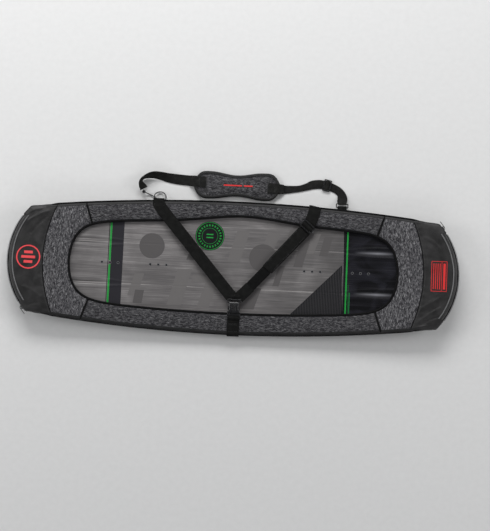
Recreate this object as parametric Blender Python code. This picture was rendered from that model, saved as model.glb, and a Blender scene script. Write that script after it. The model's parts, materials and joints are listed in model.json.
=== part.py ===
"""A twin-tip board packed in its padded, open-window carry sleeve.

World frame: origin at the middle of the underside, X along the board (right is
+X), Y across it (far side, with the shoulder strap, at +Y; near side at -Y),
Z up.  Metres.
The board and the sleeve are laid out flat in (s, y, h): s along the length,
y across, h height above the underside, and then rolled onto a rocker circle of
radius ROCKER, so every layer stays concentric with its neighbours and the board
can be drawn out along the same circle.
Each moving body hangs from an empty that stands on its joint.
"""

import math

import bmesh
import bpy
import numpy as np
from mathutils import Vector

# ---------------------------------------------------------------- shared dimensions
GAP = 0.0003                      # clearance between neighbouring layers
ROCKER = 6.0                      # radius of the rocker curve

SLEEVE_HALF_W = 0.208             # half width of the sleeve at mid length
SLEEVE_TAPER = 0.1046             # its taper with the square of s
END_C, END_R = 0.4646, 0.2444     # centre and radius of the rounded ends
ARC_ANGLES = (36, 28, 20, 12, 4)  # stations on a rounded end, degrees from its tip
SIDE_END = 0.640                  # the sides of the sleeve run this far
LINING_INSET = 0.0056             # sleeve edge to the padding and lining

Y_AXIS = Vector((0, 1, 0))
UP = Vector((0, 0, 1))

# sign along X and sign across Y, with the words used in object names
ENDS = ((1, "right"), (-1, "left"))
SIDES = ((1, "far"), (-1, "near"))


def above(below, thickness, gap=GAP):
    """Bottom and top height of a layer lying over the one below."""
    bottom = below[1] + gap
    return bottom, bottom + thickness


H_OUTER = (0.0, 0.0015)
H_BASE_FOAM = above(H_OUTER, 0.0050)
H_LINING = above(H_BASE_FOAM, 0.0008)
H_BASE_SHEET = above(H_LINING, 0.0010, gap=0.0006)
H_CORE = above(H_BASE_SHEET, 0.0074)
H_TOP_SHEET = above(H_CORE, 0.0010)
H_FRAME_LINING = above(H_TOP_SHEET, 0.0008, gap=0.0005)
H_FRAME_FOAM = above(H_FRAME_LINING, 0.0045)
H_PANEL = above(H_FRAME_FOAM, 0.0015)
H_STRAP = above(H_PANEL, 0.0015, gap=0.0008)
H_STRAP_2 = above(H_STRAP, 0.0015)

for old in list(bpy.data.objects):
    bpy.data.objects.remove(old, do_unlink=True)


# ---------------------------------------------------------------- materials
FINISHES = {
    # kind: base colour, roughness, metallic
    "board_top": ((0.14, 0.13, 0.13), 0.35, 0.0),
    "board_base": ((0.03, 0.03, 0.03), 0.3, 0.0),
    "wood": ((0.48, 0.33, 0.18), 0.6, 0.0),
    "rail": ((0.02, 0.02, 0.02), 0.35, 0.0),
    "insert": ((0.75, 0.75, 0.77), 0.3, 1.0),
    "heather": ((0.09, 0.088, 0.095), 0.9, 0.0),
    "black_nylon": ((0.022, 0.021, 0.022), 0.7, 0.0),
    "lining": ((0.05, 0.05, 0.055), 0.85, 0.0),
    "foam": ((0.12, 0.12, 0.13), 0.95, 0.0),
    "webbing": ((0.016, 0.016, 0.015), 0.8, 0.0),
    "hard_plastic": ((0.012, 0.012, 0.013), 0.4, 0.0),
    "steel": ((0.55, 0.55, 0.57), 0.25, 1.0),
    "zip": ((0.05, 0.05, 0.052), 0.45, 0.0),
}


def finish(name, kind):
    """A material of the given kind, named after its object."""
    colour, roughness, metallic = FINISHES[kind]
    made = bpy.data.materials.new(name)
    made.use_nodes = True
    shader = made.node_tree.nodes["Principled BSDF"]
    shader.inputs["Base Color"].default_value = (*colour, 1.0)
    shader.inputs["Roughness"].default_value = roughness
    shader.inputs["Metallic"].default_value = metallic
    return made


# ---------------------------------------------------------------- the rocker circle
def bend(s, y, h):
    """Rolls a flat point onto the rocker circle."""
    angle = s / ROCKER
    radius = ROCKER - h
    return Vector((radius * math.sin(angle), y, ROCKER - radius * math.cos(angle)))


def tangent(s):
    angle = s / ROCKER
    return Vector((math.cos(angle), 0.0, math.sin(angle)))


def normal(s):
    angle = s / ROCKER
    return Vector((-math.sin(angle), 0.0, math.cos(angle)))


# ---------------------------------------------------------------- objects
BODIES = {}


def body(name, pivot):
    """The parent empty of a moving body, on its joint's axis."""
    empty = bpy.data.objects.new("body_" + name, None)
    empty.empty_display_size = 0.02
    empty.location = pivot
    bpy.context.collection.objects.link(empty)
    BODIES[name] = (empty, Vector(pivot))


def put(name, bm, kind, owner=None):
    """Turns a bmesh in world coordinates into a named object under its body."""
    parent, pivot = BODIES[owner] if owner else (None, Vector((0, 0, 0)))
    bmesh.ops.remove_doubles(bm, verts=bm.verts, dist=1e-6)
    bmesh.ops.recalc_face_normals(bm, faces=bm.faces)
    bmesh.ops.translate(bm, verts=bm.verts, vec=-pivot)
    mesh = bpy.data.meshes.new(name)
    bm.to_mesh(mesh)
    bm.free()
    mesh.materials.append(finish(name, kind))
    mesh.shade_smooth()
    mesh.set_sharp_from_angle(angle=math.radians(30))
    obj = bpy.data.objects.new(name, mesh)
    bpy.context.collection.objects.link(obj)
    if parent:
        obj.parent = parent
    return obj


def merged(shapes):
    """Several closed shapes in one bmesh."""
    whole = bmesh.new()
    for bm in shapes:
        mesh = bpy.data.meshes.new("cutter_piece")
        bm.to_mesh(mesh)
        bm.free()
        whole.from_mesh(mesh)
        bpy.data.meshes.remove(mesh)
    return whole


def cut(obj, *cutters):
    """Takes each cutter, a list of closed shapes, out of the object."""
    for number, shapes in enumerate(cutters):
        bm = merged(shapes)
        bmesh.ops.recalc_face_normals(bm, faces=bm.faces)
        mesh = bpy.data.meshes.new(f"{obj.name}_cut{number}")
        bm.to_mesh(mesh)
        bm.free()
        tool = bpy.data.objects.new(f"{obj.name}_cut{number}", mesh)
        bpy.context.collection.objects.link(tool)
        tool.hide_render = True
        tool.display_type = "WIRE"
        modifier = obj.modifiers.new(f"cut{number}", "BOOLEAN")
        modifier.operation = "DIFFERENCE"
        modifier.solver = "EXACT"
        modifier.object = tool


# ---------------------------------------------------------------- solids
def loft(sections, ring=False):
    """Skins closed loops of equal length; the ends are capped unless they meet."""
    bm = bmesh.new()
    rows = [[bm.verts.new(p) for p in loop] for loop in sections]
    count = len(rows[0])
    pairs = list(zip(rows, rows[1:]))
    if ring:
        pairs.append((rows[-1], rows[0]))
    for first, second in pairs:
        for k in range(count):
            n = (k + 1) % count
            bm.faces.new((first[k], first[n], second[n], second[k]))
    if not ring:
        bm.faces.new(rows[0][::-1])
        bm.faces.new(rows[-1])
    return bm


def layer(first, second, heights, parts=1, ring=False, place=bend):
    """A sheet between two lines of equal count, or two closed outlines if ring.

    Each section has parts steps across, so that it can follow the rocker;
    place turns a flat point into a world one.
    """
    low, high = heights
    sections = []
    for a, b in zip(first, second):
        steps = [k / parts for k in range(parts + 1)]
        line = [(a[0] + (b[0] - a[0]) * t, a[1] + (b[1] - a[1]) * t) for t in steps]
        sections.append([place(*p, low) for p in line] + [place(*p, high) for p in line[::-1]])
    return loft(sections, ring)


def full_sheet(line, heights, place=bend):
    """A sheet over the whole width; line holds (s, half width)."""
    return layer([(s, -w) for s, w in line], line, heights, place=place)


def rectangle(x0, x1, y0, y1):
    return [(x0, y0), (x1, y0), (x1, y1), (x0, y1)]


def rectangle_round(middle, across, up):
    """The corners of a rectangle from its middle and two half sides."""
    return [
        middle - across - up,
        middle + across - up,
        middle + across + up,
        middle - across + up,
    ]


def rolled_box(s0, s1, y0, y1, h0, h1):
    """A box laid out flat and then rolled onto the rocker."""
    return loft([[bend(s, y, h) for s, y in rectangle(s0, s1, y0, y1)] for h in (h0, h1)])


def frame_at(s):
    """Origin and three axes of the plane tangent to the underside at s."""
    return bend(s, 0, 0), tangent(s), Y_AXIS, normal(s)


def prism(points, low, high, frame):
    """A flat outline in the frame's first two axes, raised along the third."""
    base, along, across, up = frame
    return loft([[base + along * a + across * b + up * h for a, b in points] for h in (low, high)])


def stud(s, low, high, radius):
    """An eight-sided peg on the middle line."""
    turns = (np.arange(8) + 0.5) * 2 * math.pi / 8
    circle = [(radius * math.cos(t), radius * math.sin(t)) for t in turns]
    return prism(circle, low, high, frame_at(s))


def tube(path, radius, up, sides=8, closed=False):
    """A round bar along a path; up is a direction never along the path."""
    count = len(path)
    sections = []
    for k, point in enumerate(path):
        if closed:
            run = path[(k + 1) % count] - path[k - 1]
        else:
            run = path[min(k + 1, count - 1)] - path[max(k - 1, 0)]
        run = run.normalized()
        across = up.cross(run).normalized()
        top = run.cross(across)
        turns = np.arange(sides) * 2 * math.pi / sides
        sections.append(
            [point + radius * (math.cos(t) * across + math.sin(t) * top) for t in turns]
        )
    return loft(sections, ring=closed)


def rolled_ribbon(path, width, heights, parts=6):
    """Flat webbing laid on the sleeve: path in (s, y), each leg in parts steps."""
    fine = [Vector(path[0])]
    for a, b in zip(path, path[1:]):
        for t in np.linspace(0, 1, parts + 1)[1:]:
            fine.append(Vector(a).lerp(Vector(b), t))
    first, second = [], []
    for k, point in enumerate(fine):
        run = (fine[min(k + 1, len(fine) - 1)] - fine[max(k - 1, 0)]).normalized()
        across = Vector((-run.y, run.x)) * width / 2
        first.append(point - across)
        second.append(point + across)
    return layer(first, second, heights)


def strap_slide(name, frame, half_width, cut_top, owner=None):
    """A flat plate with two slots for webbing; the cutters reach up to cut_top."""
    half_length, thickness = 0.0125, 0.0028
    slot_near, slot_far = 0.002, 0.009    # from the middle bar outwards
    slot_half = half_width - 0.003
    outline = rectangle(-half_length, half_length, -half_width, half_width)
    plate = put(name, prism(outline, 0, thickness, frame), "hard_plastic", owner)
    slots = [
        prism(rectangle(a, b, -slot_half, slot_half), -0.002, cut_top, frame)
        for a, b in ((-slot_far, -slot_near), (slot_near, slot_far))
    ]
    cut(plate, slots)


# ---------------------------------------------------------------- outlines
def side_w(s):
    """Half width of the sleeve along its sides."""
    return SLEEVE_HALF_W - SLEEVE_TAPER * s * s


def end_arc(radius, degrees):
    """Points of the right rounded end, by angle from its tip."""
    return [(END_C + radius * math.cos(t), radius * math.sin(t)) for t in np.radians(degrees)]


def both_ends(half):
    """A line from middle to right tip, extended to start at the left tip."""
    return [(-s, w) for s, w in half[::-1]] + half


def mirrored_x(points):
    """The points followed by their mirror images in x, in reverse."""
    return points + [(-x, y) for x, y in points[::-1]]


def mirrored_loop(line):
    """The closed outline of a line of (s, half width)."""
    return [*line, *[(s, -w) for s, w in line[::-1]]]


def offset(loop, by):
    """A closed loop moved outwards by a distance."""
    moved = []
    for k, (s, y) in enumerate(loop):
        a, b = loop[k - 1], loop[(k + 1) % len(loop)]
        run = Vector((b[0] - a[0], b[1] - a[1])).normalized()
        out = Vector((run.y, -run.x))
        if out.dot(Vector((s, y))) < 0:
            out = -out
        moved.append((s + out.x * by, y + out.y * by))
    return moved


def inset_line(line, by):
    return offset(mirrored_loop(line), -by)[: len(line)]


# ---------------------------------------------------------------- board
BOARD_R = 0.2254                  # radius of the board's rounded ends
BOARD_INSET = 0.0125              # board edge to sleeve edge along the sides
RAIL_W = 0.008

STANCE_SHIFT = 0.0065             # middle of the insert pattern, from mid length
INNER_GROUP = 0.2437              # inner insert groups, each way from there
INSERT_SPACING = 0.1524           # 6 in between the insert groups of one foot
INSERT_PITCH = 0.0254
OUTER_GROUP = INNER_GROUP + INSERT_SPACING
GROUPS = [STANCE_SHIFT + d for d in (-OUTER_GROUP, -INNER_GROUP, INNER_GROUP, OUTER_GROUP)]

BLOCK_HALF_L, BLOCK_HALF_W = 0.038, 0.008
BLOCK_BOTTOM, BLOCK_TOP = 0.0130, 0.0171
POCKET_SLACK = 0.0005             # round a block in the core

CROWN_FLAT = 0.10                 # half width of the flat middle of the top sheet
CROWN_DROP = 0.0004               # from there down to its edges

body("board", (0.0, 0.0, ROCKER))

board_half = [(s, side_w(s) - BOARD_INSET) for s in [*np.linspace(0.0226, 0.610, 14), 0.629]]
board_line = both_ends(board_half + end_arc(BOARD_R, ARC_ANGLES))


def group_holes(centre):
    """Stations of the three holes of an insert group."""
    return [centre + k * INSERT_PITCH for k in (-1, 0, 1)]


def board_core():
    line = inset_line(board_line, RAIL_W + GAP)
    core = put("board_core", full_sheet(line, H_CORE), "wood", "board")
    half_l, half_w = BLOCK_HALF_L + POCKET_SLACK, BLOCK_HALF_W + POCKET_SLACK
    pockets = [
        rolled_box(c - half_l, c + half_l, -half_w, half_w, BLOCK_BOTTOM - GAP, 0.0180)
        for c in GROUPS
    ]
    cut(core, pockets)


def board_rail():
    outline = mirrored_loop(board_line)
    rail = layer(outline, offset(outline, -RAIL_W), H_CORE, ring=True)
    put("board_rail", rail, "rail", "board")


def board_top_sheet():
    bottom, top = H_TOP_SHEET
    sections = []
    for s, w in board_line:
        flat = min(CROWN_FLAT, 0.6 * w)
        profile = [
            (-w, bottom), (w, bottom), (w, top - CROWN_DROP),
            (flat, top), (-flat, top), (-w, top - CROWN_DROP),
        ]
        sections.append([bend(s, y, h) for y, h in profile])
    sheet = put("board_top_sheet", loft(sections), "board_top", "board")
    cut(sheet, [stud(s, 0.0165, 0.0200, 0.0031) for c in GROUPS for s in group_holes(c)])


def insert_block(number, centre):
    shape = rolled_box(
        centre - BLOCK_HALF_L, centre + BLOCK_HALF_L,
        -BLOCK_HALF_W, BLOCK_HALF_W,
        BLOCK_BOTTOM, BLOCK_TOP,
    )
    block = put(f"insert_block_{number}", shape, "insert", "board")
    cut(block, [stud(s, 0.0142, 0.0190, 0.0026) for s in group_holes(centre)])


put("board_base_sheet", full_sheet(board_line, H_BASE_SHEET), "board_base", "board")
board_core()
board_rail()
board_top_sheet()
for number, centre in enumerate(GROUPS, 1):
    insert_block(number, centre)

# ---------------------------------------------------------------- sleeve, lower half
GUSSET_T = 0.005
PIPING_HALF_L = 0.598

# piping section: distance out from the sleeve edge, height
PIPING = (
    (0.0, 0.0232), (0.0020, 0.0232), (0.0030, 0.0247), (0.0020, 0.0262), (0.0, 0.0262),
)

sleeve_half = [(s, side_w(s)) for s in np.linspace(0.0221, SIDE_END, 15)]
sleeve_line = both_ends(sleeve_half + end_arc(END_R, ARC_ANGLES))
padding_line = inset_line(sleeve_line, LINING_INSET)

# top edge of a side wall, from just inside the right zip to just inside the left
gusset_half = end_arc(END_R, (34.5, 38.5))
gusset_half += [(s, side_w(s)) for s in np.linspace(0.644, 0.0221, 15)]
gusset_line = mirrored_x(gusset_half)


def gusset(y_sign, side):
    """The upright side wall."""
    low, high = H_BASE_FOAM[0], H_FRAME_FOAM[1]
    sections = []
    for k, (s, w) in enumerate(gusset_line):
        a, b = gusset_line[max(k - 1, 0)], gusset_line[min(k + 1, len(gusset_line) - 1)]
        run = Vector((b[0] - a[0], b[1] - a[1])).normalized()
        inward = Vector((-run.y, run.x))
        if inward.y > 0:
            inward = -inward
        s_in, w_in = s + inward.x * GUSSET_T, w + inward.y * GUSSET_T
        sections.append(
            [
                bend(s, w * y_sign, low),
                bend(s, w * y_sign, high),
                bend(s_in, w_in * y_sign, high),
                bend(s_in, w_in * y_sign, low),
            ]
        )
    put("gusset_" + side, loft(sections), "black_nylon")


def edge_piping(y_sign, side):
    sections = [
        [bend(s, (side_w(s) + GAP + out) * y_sign, h) for out, h in PIPING]
        for s in np.linspace(-PIPING_HALF_L, PIPING_HALF_L, 25)
    ]
    put("edge_piping_" + side, loft(sections), "black_nylon")


put("base_outer_panel", full_sheet(sleeve_line, H_OUTER), "black_nylon")
put("base_foam", full_sheet(padding_line, H_BASE_FOAM), "foam")
put("base_lining", full_sheet(padding_line, H_LINING), "lining")
for y_sign, side in SIDES:
    gusset(y_sign, side)
    edge_piping(y_sign, side)

# ---------------------------------------------------------------- sleeve, frame round the opening
WIN_HALF_L = 0.522                # opening, to the outside of its binding
WIN_HALF_W = 0.148                # at mid length, near side
WIN_TAPER = 0.0915                # its taper with the square of s
WIN_SQUARENESS = 14               # a higher power makes the ends squarer
BULGE_W, BULGE_S, BULGE_SPREAD = 0.020, 0.03, 0.11    # bell-shaped bulge, far side
BINDING_W, BINDING_TOP = 0.007, 0.0270
SEAM_IN, SEAM_OUT = 0.452, 0.474  # seam of side and end panels, at opening and edge
SEAM_GAP = 0.0006
FRAME_END = 0.6405


def opening(s, y_sign):
    """Half width of the opening at s, on one side."""
    w = WIN_HALF_W - WIN_TAPER * s * s
    if y_sign > 0:
        w += BULGE_W * math.exp(-((s - BULGE_S) ** 2) / (2 * BULGE_SPREAD**2))
    return w * math.sqrt(max(1.0 - (abs(s) / WIN_HALF_L) ** WIN_SQUARENESS, 0.0))


# stations of one quarter of the opening: along the side, then round the end
side_stations = list(np.linspace(0.0, SEAM_IN, 8))
LAST_SIDE = len(side_stations) - 1
quarter = side_stations + [
    SEAM_IN + (WIN_HALF_L - SEAM_IN) * math.sin(t) for t in np.radians([18, 38, 56, 74, 90])
]
LAST = len(quarter) - 1

# the same stations at the sleeve edge
edge_stations = [s * SEAM_OUT / SEAM_IN for s in side_stations]
quarter_out = [(s, side_w(s) - LINING_INSET) for s in [*edge_stations, 0.545, FRAME_END]]
quarter_out += [(FRAME_END, y) for y in (0.105, 0.05, 0.0)]

# (end sign, station number, side sign) all the way round, far side first
far_keys = [(-1, k, 1) for k in range(LAST, 0, -1)] + [(1, k, 1) for k in range(LAST + 1)]
order = far_keys + [(end, k, -1) for end, k, _ in far_keys[-2:0:-1]]

window = [(end * quarter[k], y * opening(end * quarter[k], y)) for end, k, y in order]
window_out = offset(window, GAP)
frame_outer = [(end * quarter_out[k][0], y * quarter_out[k][1]) for end, k, y in order]
rim = dict(zip(order, window_out))

for name, heights, kind in (
    ("frame_lining", H_FRAME_LINING, "lining"),
    ("frame_foam", H_FRAME_FOAM, "foam"),
):
    put(name, layer(frame_outer, window_out, heights, parts=3, ring=True), kind)

binding_heights = (H_FRAME_LINING[0], BINDING_TOP)
binding = layer(window, offset(window, -BINDING_W), binding_heights, ring=True)
put("opening_binding", binding, "black_nylon")

for y_sign, side in SIDES:
    keys = [(-1, k, y_sign) for k in range(LAST_SIDE, 0, -1)]
    keys += [(1, k, y_sign) for k in range(LAST_SIDE + 1)]
    inner_line = [rim[key] for key in keys]
    outer_line = [(end * edge_stations[k], y_sign * side_w(edge_stations[k])) for end, k, _ in keys]
    put("side_panel_" + side, layer(inner_line, outer_line, H_PANEL), "heather")

# ---------------------------------------------------------------- sleeve ends
ZIP_HALF = math.radians(34.0)     # the zip runs this far each side of the tip
PARK = math.radians(38.6)         # where the closed sliders park
ZIP_S = 0.67                      # the zip lies in the plane tangent to the rocker here
ZIP_MID_H = 0.0047
FOLD_S = 0.6435                   # fold line of each end flap
FOLD_H = 0.0267                   # height of its hinge
FLAP_HALF_W = END_R * math.sin(ZIP_HALF)
FLAP_GAP = 0.0004                 # flap to its fold line
FLAP_WALL, FLAP_BOTTOM = 0.0020, 0.0070
FLAP_CHAMFER = 0.001
CAP_GAP = 0.0005                  # end panel to black cap
CORNER_Y = 0.1655                 # the straight side meets the rounded end here
PULL_R = 0.2520                   # pivot of a zip pull, from the centre of the end
PULL_HALF_T = 0.0007

# sections of the zip tapes: radius, height
ZIP_LOWER = (
    (0.2424, 0.0018), (0.2444, 0.0018), (0.2444, 0.0030),
    (0.2462, 0.0034), (0.2462, 0.0044), (0.2424, 0.0044),
)
ZIP_UPPER = (
    (0.2424, 0.0067), (0.2444, 0.0067), (0.2444, 0.0061),
    (0.2462, 0.0058), (0.2462, 0.0047), (0.2424, 0.0047),
)
# section of the slider, outside the teeth: radius, height
ZIP_SLIDER = (
    (0.2466, 0.0014), (0.2490, 0.0014), (0.2490, 0.0034), (0.2506, 0.0038),
    (0.2506, 0.0056), (0.2490, 0.0060), (0.2490, 0.0080), (0.2466, 0.0080),
)
# zip pull: distance along it, half height
ZIP_PULL = ((-0.0005, 0.0016), (0.004, 0.0025), (0.020, 0.0029), (0.024, 0.0022))


def cap_line(y):
    """Where the grey end panel meets the black cap."""
    return 0.600 - 1.25 * y * y


def cap_end(y):
    """Outer edge of the fixed cap: side, rounded end, then the flap's fold line."""
    y = abs(y)
    if y > CORNER_Y:
        return math.sqrt((SLEEVE_HALF_W - y) / SLEEVE_TAPER)
    if y > FLAP_HALF_W + 0.0004:
        return END_C + math.sqrt(END_R**2 - y * y)
    return FOLD_S


def polar(end, radius, angle, h):
    """A point of the end arc in the plane of the zip."""
    out = tangent(ZIP_S * end) * end
    centre = bend(ZIP_S * end, 0, 0) - out * (ZIP_S - END_C)
    flat = out * radius * math.cos(angle) + Y_AXIS * radius * math.sin(angle)
    return centre + flat + normal(ZIP_S * end) * h


def swept(end, profile, angles):
    """A section of (radius, height) swept round the end arc."""
    return loft([[polar(end, r, t, h) for r, h in profile] for t in angles])


def end_panel(end, side):
    keys = [(end, k, 1) for k in range(LAST_SIDE, LAST + 1)]
    keys += [(end, k, -1) for k in range(LAST - 1, LAST_SIDE - 1, -1)]
    inner_line = [rim[key] for key in keys]
    for k in (0, -1):
        s, y = inner_line[k]
        inner_line[k] = (s + end * SEAM_GAP, y)
    out_half = [(SEAM_OUT + SEAM_GAP, side_w(SEAM_OUT)), (0.5612, side_w(0.5612))]
    out_half += [(cap_line(y), y) for y in (0.152, 0.09, 0.045, 0.0)]
    out_line = [(end * s, y) for s, y in out_half] + [(end * s, -y) for s, y in out_half[-2::-1]]
    put("end_panel_" + side, layer(inner_line, out_line, H_PANEL, parts=2), "heather")


def fixed_cap(end, side):
    """The black end cap, up to the fold line of the flap."""
    half = [
        0.1740, 0.1700, CORNER_Y, 0.1520,
        FLAP_HALF_W + 0.0006, FLAP_HALF_W + 0.0002, 0.09, 0.045,
    ]
    stations = [-y for y in half] + [0.0] + half[::-1]
    inner_line = [(end * (cap_line(y) + CAP_GAP), y) for y in stations]
    out_line = [(end * cap_end(y), y) for y in stations]
    put("cap_" + side, layer(inner_line, out_line, H_PANEL, parts=2), "black_nylon")


def flap(end, side):
    """The rest of the cap and its end wall, hinged along the fold line."""
    body("flap_" + side, bend(FOLD_S * end, 0, FOLD_H))
    bottom, top = H_PANEL
    fold = FOLD_S + FLAP_GAP
    angle_max = math.asin((FLAP_HALF_W - GAP) / END_R)
    sections = []
    for t in np.linspace(-angle_max, angle_max, 15):
        y, far = END_R * math.sin(t), END_C + END_R * math.cos(t)
        profile = [
            (fold, bottom),
            (far - FLAP_WALL, bottom),
            (far - FLAP_WALL, FLAP_BOTTOM),
            (far, FLAP_BOTTOM),
            (far, top - FLAP_CHAMFER),
            (far - FLAP_CHAMFER, top),
            (fold, top),
        ]
        sections.append([bend(end * s, y, h) for s, h in profile])
    put("flap_" + side, loft(sections), "black_nylon", "flap_" + side)


def zip_tapes(end, side):
    """The lower tape stays on the sleeve, the upper one moves with the flap."""
    angles = np.linspace(-ZIP_HALF, ZIP_HALF, 15)
    put("zip_lower_" + side, swept(end, ZIP_LOWER, angles), "zip")
    put("zip_upper_" + side, swept(end, ZIP_UPPER, angles), "zip", "flap_" + side)


def zip_slider(end, side):
    body("slider_" + side, polar(end, 0.0, 0.0, ZIP_MID_H))
    angles = [end * PARK + t for t in np.radians([-1.5, 0.0, 1.5])]
    put("zip_slider_" + side, swept(end, ZIP_SLIDER, angles), "steel", "slider_" + side)


def zip_pull(end, side):
    centre = polar(end, 0.0, 0.0, ZIP_MID_H)
    pin = polar(end, PULL_R, end * PARK, ZIP_MID_H)
    body("pull_" + side, pin)
    out = (pin - centre).normalized()
    along = (polar(end, PULL_R, end * (PARK + math.pi / 2), ZIP_MID_H) - centre).normalized()
    up = normal(ZIP_S * end)
    sections = [
        rectangle_round(pin + along * distance, out * PULL_HALF_T, up * half_height)
        for distance, half_height in ZIP_PULL
    ]
    put("zip_pull_" + side, loft(sections), "hard_plastic", "pull_" + side)


for end, side in ENDS:
    for build in (end_panel, fixed_cap, flap, zip_tapes, zip_slider, zip_pull):
        build(end, side)

# ---------------------------------------------------------------- straps over the opening
WEB_W = 0.038                     # strap webbing

# name, heights, middle line in (s, y)
V_STRAPS = (
    ("v_strap_left", H_STRAP_2,
     [(-0.2446, 0.2010), (-0.2446, 0.190), (-0.2225, 0.162), (-0.008, -0.0842)]),
    ("v_strap_right", H_STRAP,
     [(0.2515, 0.2005), (0.2475, 0.180), (0.232, 0.140), (0.036, -0.0790)]),
    ("v_strap_tail", H_STRAP_2, [(0.2195, 0.1283), (0.108, -0.0007)]),
)
TRIGLIDE_S, TRIGLIDE_Y = 0.2300, 0.1400
TRIGLIDE_RUN = (0.667, 0.745)     # its direction in (s, y), along the right strap

for name, heights, path in V_STRAPS:
    put(name, rolled_ribbon(path, WEB_W, heights), "webbing")

run_s, run_y = TRIGLIDE_RUN
triglide_along = (tangent(TRIGLIDE_S) * run_s + Y_AXIS * run_y).normalized()
triglide_up = normal(TRIGLIDE_S)
triglide_frame = (
    bend(TRIGLIDE_S, TRIGLIDE_Y, H_STRAP_2[0]),
    triglide_along,
    triglide_up.cross(triglide_along),
    triglide_up,
)
strap_slide("v_triglide", triglide_frame, half_width=0.0225, cut_top=0.0048)

# ---------------------------------------------------------------- buckle
# Outlines are in (x, y), x from the buckle's middle line.  It opens towards -Y.
BUCKLE_X = 0.008
BUCKLE_FRAME = frame_at(BUCKLE_X)
LATCH_X = 0.0145                  # latch pivots, each way from the middle line

HOUSING_HALF = [(-0.0215, -0.0990), (-0.0225, -0.112), (-0.0225, -0.1400), (-0.0205, -0.1425)]
TONGUE_HALF = [
    (0.0190, -0.1600), (0.0215, -0.1570), (0.0215, -0.1440), (0.0205, -0.1433),
    (0.0030, -0.1433), (0.0024, -0.1180),
]
LATCH_ARM = (
    (0.0125, -0.1427), (0.0165, -0.1427), (0.0168, -0.1330), (0.0181, -0.1325),
    (0.0181, -0.1260), (0.0150, -0.1190), (0.0128, -0.1185), (0.0128, -0.1300),
)
# webbing from the buckle over the near edge and down: y, height
TAB_PROFILE = (
    (-0.1447, 0.0287), (-0.2135, 0.0287), (-0.2150, 0.0275), (-0.2150, 0.0030),
    (-0.2137, 0.0030), (-0.2137, 0.0272), (-0.1447, 0.0272),
)


def buckle_prism(points, low, high):
    return prism(points, low, high, BUCKLE_FRAME)


def buckle_box(x0, x1, y0, y1, low, high):
    return buckle_prism(rectangle(x0, x1, y0, y1), low, high)


def buckle_housing():
    shape = buckle_prism(mirrored_x(HOUSING_HALF), 0.0274, 0.0380)
    mouth = buckle_box(-0.0185, 0.0185, -0.1450, -0.1150, 0.0289, 0.0363)
    side_windows = [
        buckle_box(x0, x1, -0.1340, -0.1200, 0.0300, 0.0352)
        for x0, x1 in ((-0.0260, -0.0180), (0.0180, 0.0260))
    ]
    strap_slot = buckle_box(-0.0185, 0.0185, -0.1105, -0.1040, 0.0200, 0.0450)
    housing = put("buckle_housing", shape, "hard_plastic")
    cut(housing, [mouth], side_windows, [strap_slot])


def buckle_tongue():
    body("tongue", (BUCKLE_X, -0.1516, 0.0293))
    shape = buckle_prism(mirrored_x(TONGUE_HALF), 0.0298, 0.0354)
    tongue = put("buckle_tongue", shape, "hard_plastic", "tongue")
    cut(tongue, [buckle_box(-0.0175, 0.0175, -0.1565, -0.1500, 0.0200, 0.0450)])


def latch_arm(end, side):
    body("latch_" + side, (BUCKLE_X + end * LATCH_X, -0.1412, 0.0325))
    shape = buckle_prism([(end * x, y) for x, y in LATCH_ARM], 0.0303, 0.0349)
    put("latch_arm_" + side, shape, "hard_plastic", "latch_" + side)


def buckle_tab():
    stations = (-WEB_W / 2, 0.0, WEB_W / 2)
    sections = [[bend(BUCKLE_X + x, y, h) for y, h in TAB_PROFILE] for x in stations]
    put("buckle_tab_webbing", loft(sections), "webbing")


buckle_housing()
buckle_tongue()
for end, side in ENDS:
    latch_arm(end, side)
buckle_tab()

# ---------------------------------------------------------------- ring tabs on the far edge
HINGE_Y, HINGE_Z = 0.2085, 0.014  # carry strap's pivot line, parallel to X
D_RING_X, RING_X = -0.2426, 0.337
TAB_HALF_W, TAB_T = 0.0145, 0.0012
TAB_LOOP_R = 0.0042               # webbing's middle line round the pivot line


def band(path, thickness):
    """A closed outline of even thickness round an open path in (y, z)."""
    first, second = [], []
    for k, point in enumerate(path):
        a, b = Vector(path[max(k - 1, 0)]), Vector(path[min(k + 1, len(path) - 1)])
        run = (b - a).normalized()
        across = Vector((-run.y, run.x)) * thickness / 2
        first.append(Vector(point) + across)
        second.append(Vector(point) - across)
    return first + second[::-1]


def ring_tab(name, x, leg_y):
    """Webbing looped round a ring, with a leg up and one down at leg_y."""
    y, z, r = HINGE_Y, HINGE_Z, TAB_LOOP_R
    path = [(leg_y, z + 0.0085), (leg_y, z + 0.0046), (y - 0.0010, z + r)]
    path += [(y + r * math.cos(t), z + r * math.sin(t)) for t in np.radians([60, 25, -25, -60])]
    path += [(y - 0.0010, z - r), (leg_y, z - 0.0046), (leg_y, z - 0.0085)]
    outline = band(path, TAB_T)
    sections = [[Vector((x + a, p.x, p.y)) for p in outline] for a in (-TAB_HALF_W, TAB_HALF_W)]
    put(name, loft(sections), "webbing")


ring_tab("d_ring_tab", D_RING_X, leg_y=0.2044)
ring_tab("ring_tab_right", RING_X, leg_y=0.1988)

# ---------------------------------------------------------------- carry strap: rings
TILT = math.radians(21)           # the rings slope down away from the sleeve
BOW_R, BOW_V = 0.0190, 0.0085     # the D ring's bow and the distance out of its centre

# right ring: x from its middle, distance out from the pivot line
RING_PATH = (
    (-0.0165, 0), (0.0165, 0), (0.0185, 0.002), (0.0185, 0.0115),
    (0.0165, 0.0135), (-0.0165, 0.0135), (-0.0185, 0.0115), (-0.0185, 0.002),
)

body("carry_strap", (0.0, HINGE_Y, HINGE_Z))


def on_ring(x, out):
    """A point of a ring's plane, out from the pivot line."""
    return Vector((x, HINGE_Y + out * math.cos(TILT), HINGE_Z - out * math.sin(TILT)))


def on_bow(angle):
    return on_ring(D_RING_X + BOW_R * math.cos(angle), BOW_V + BOW_R * math.sin(angle))


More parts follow.
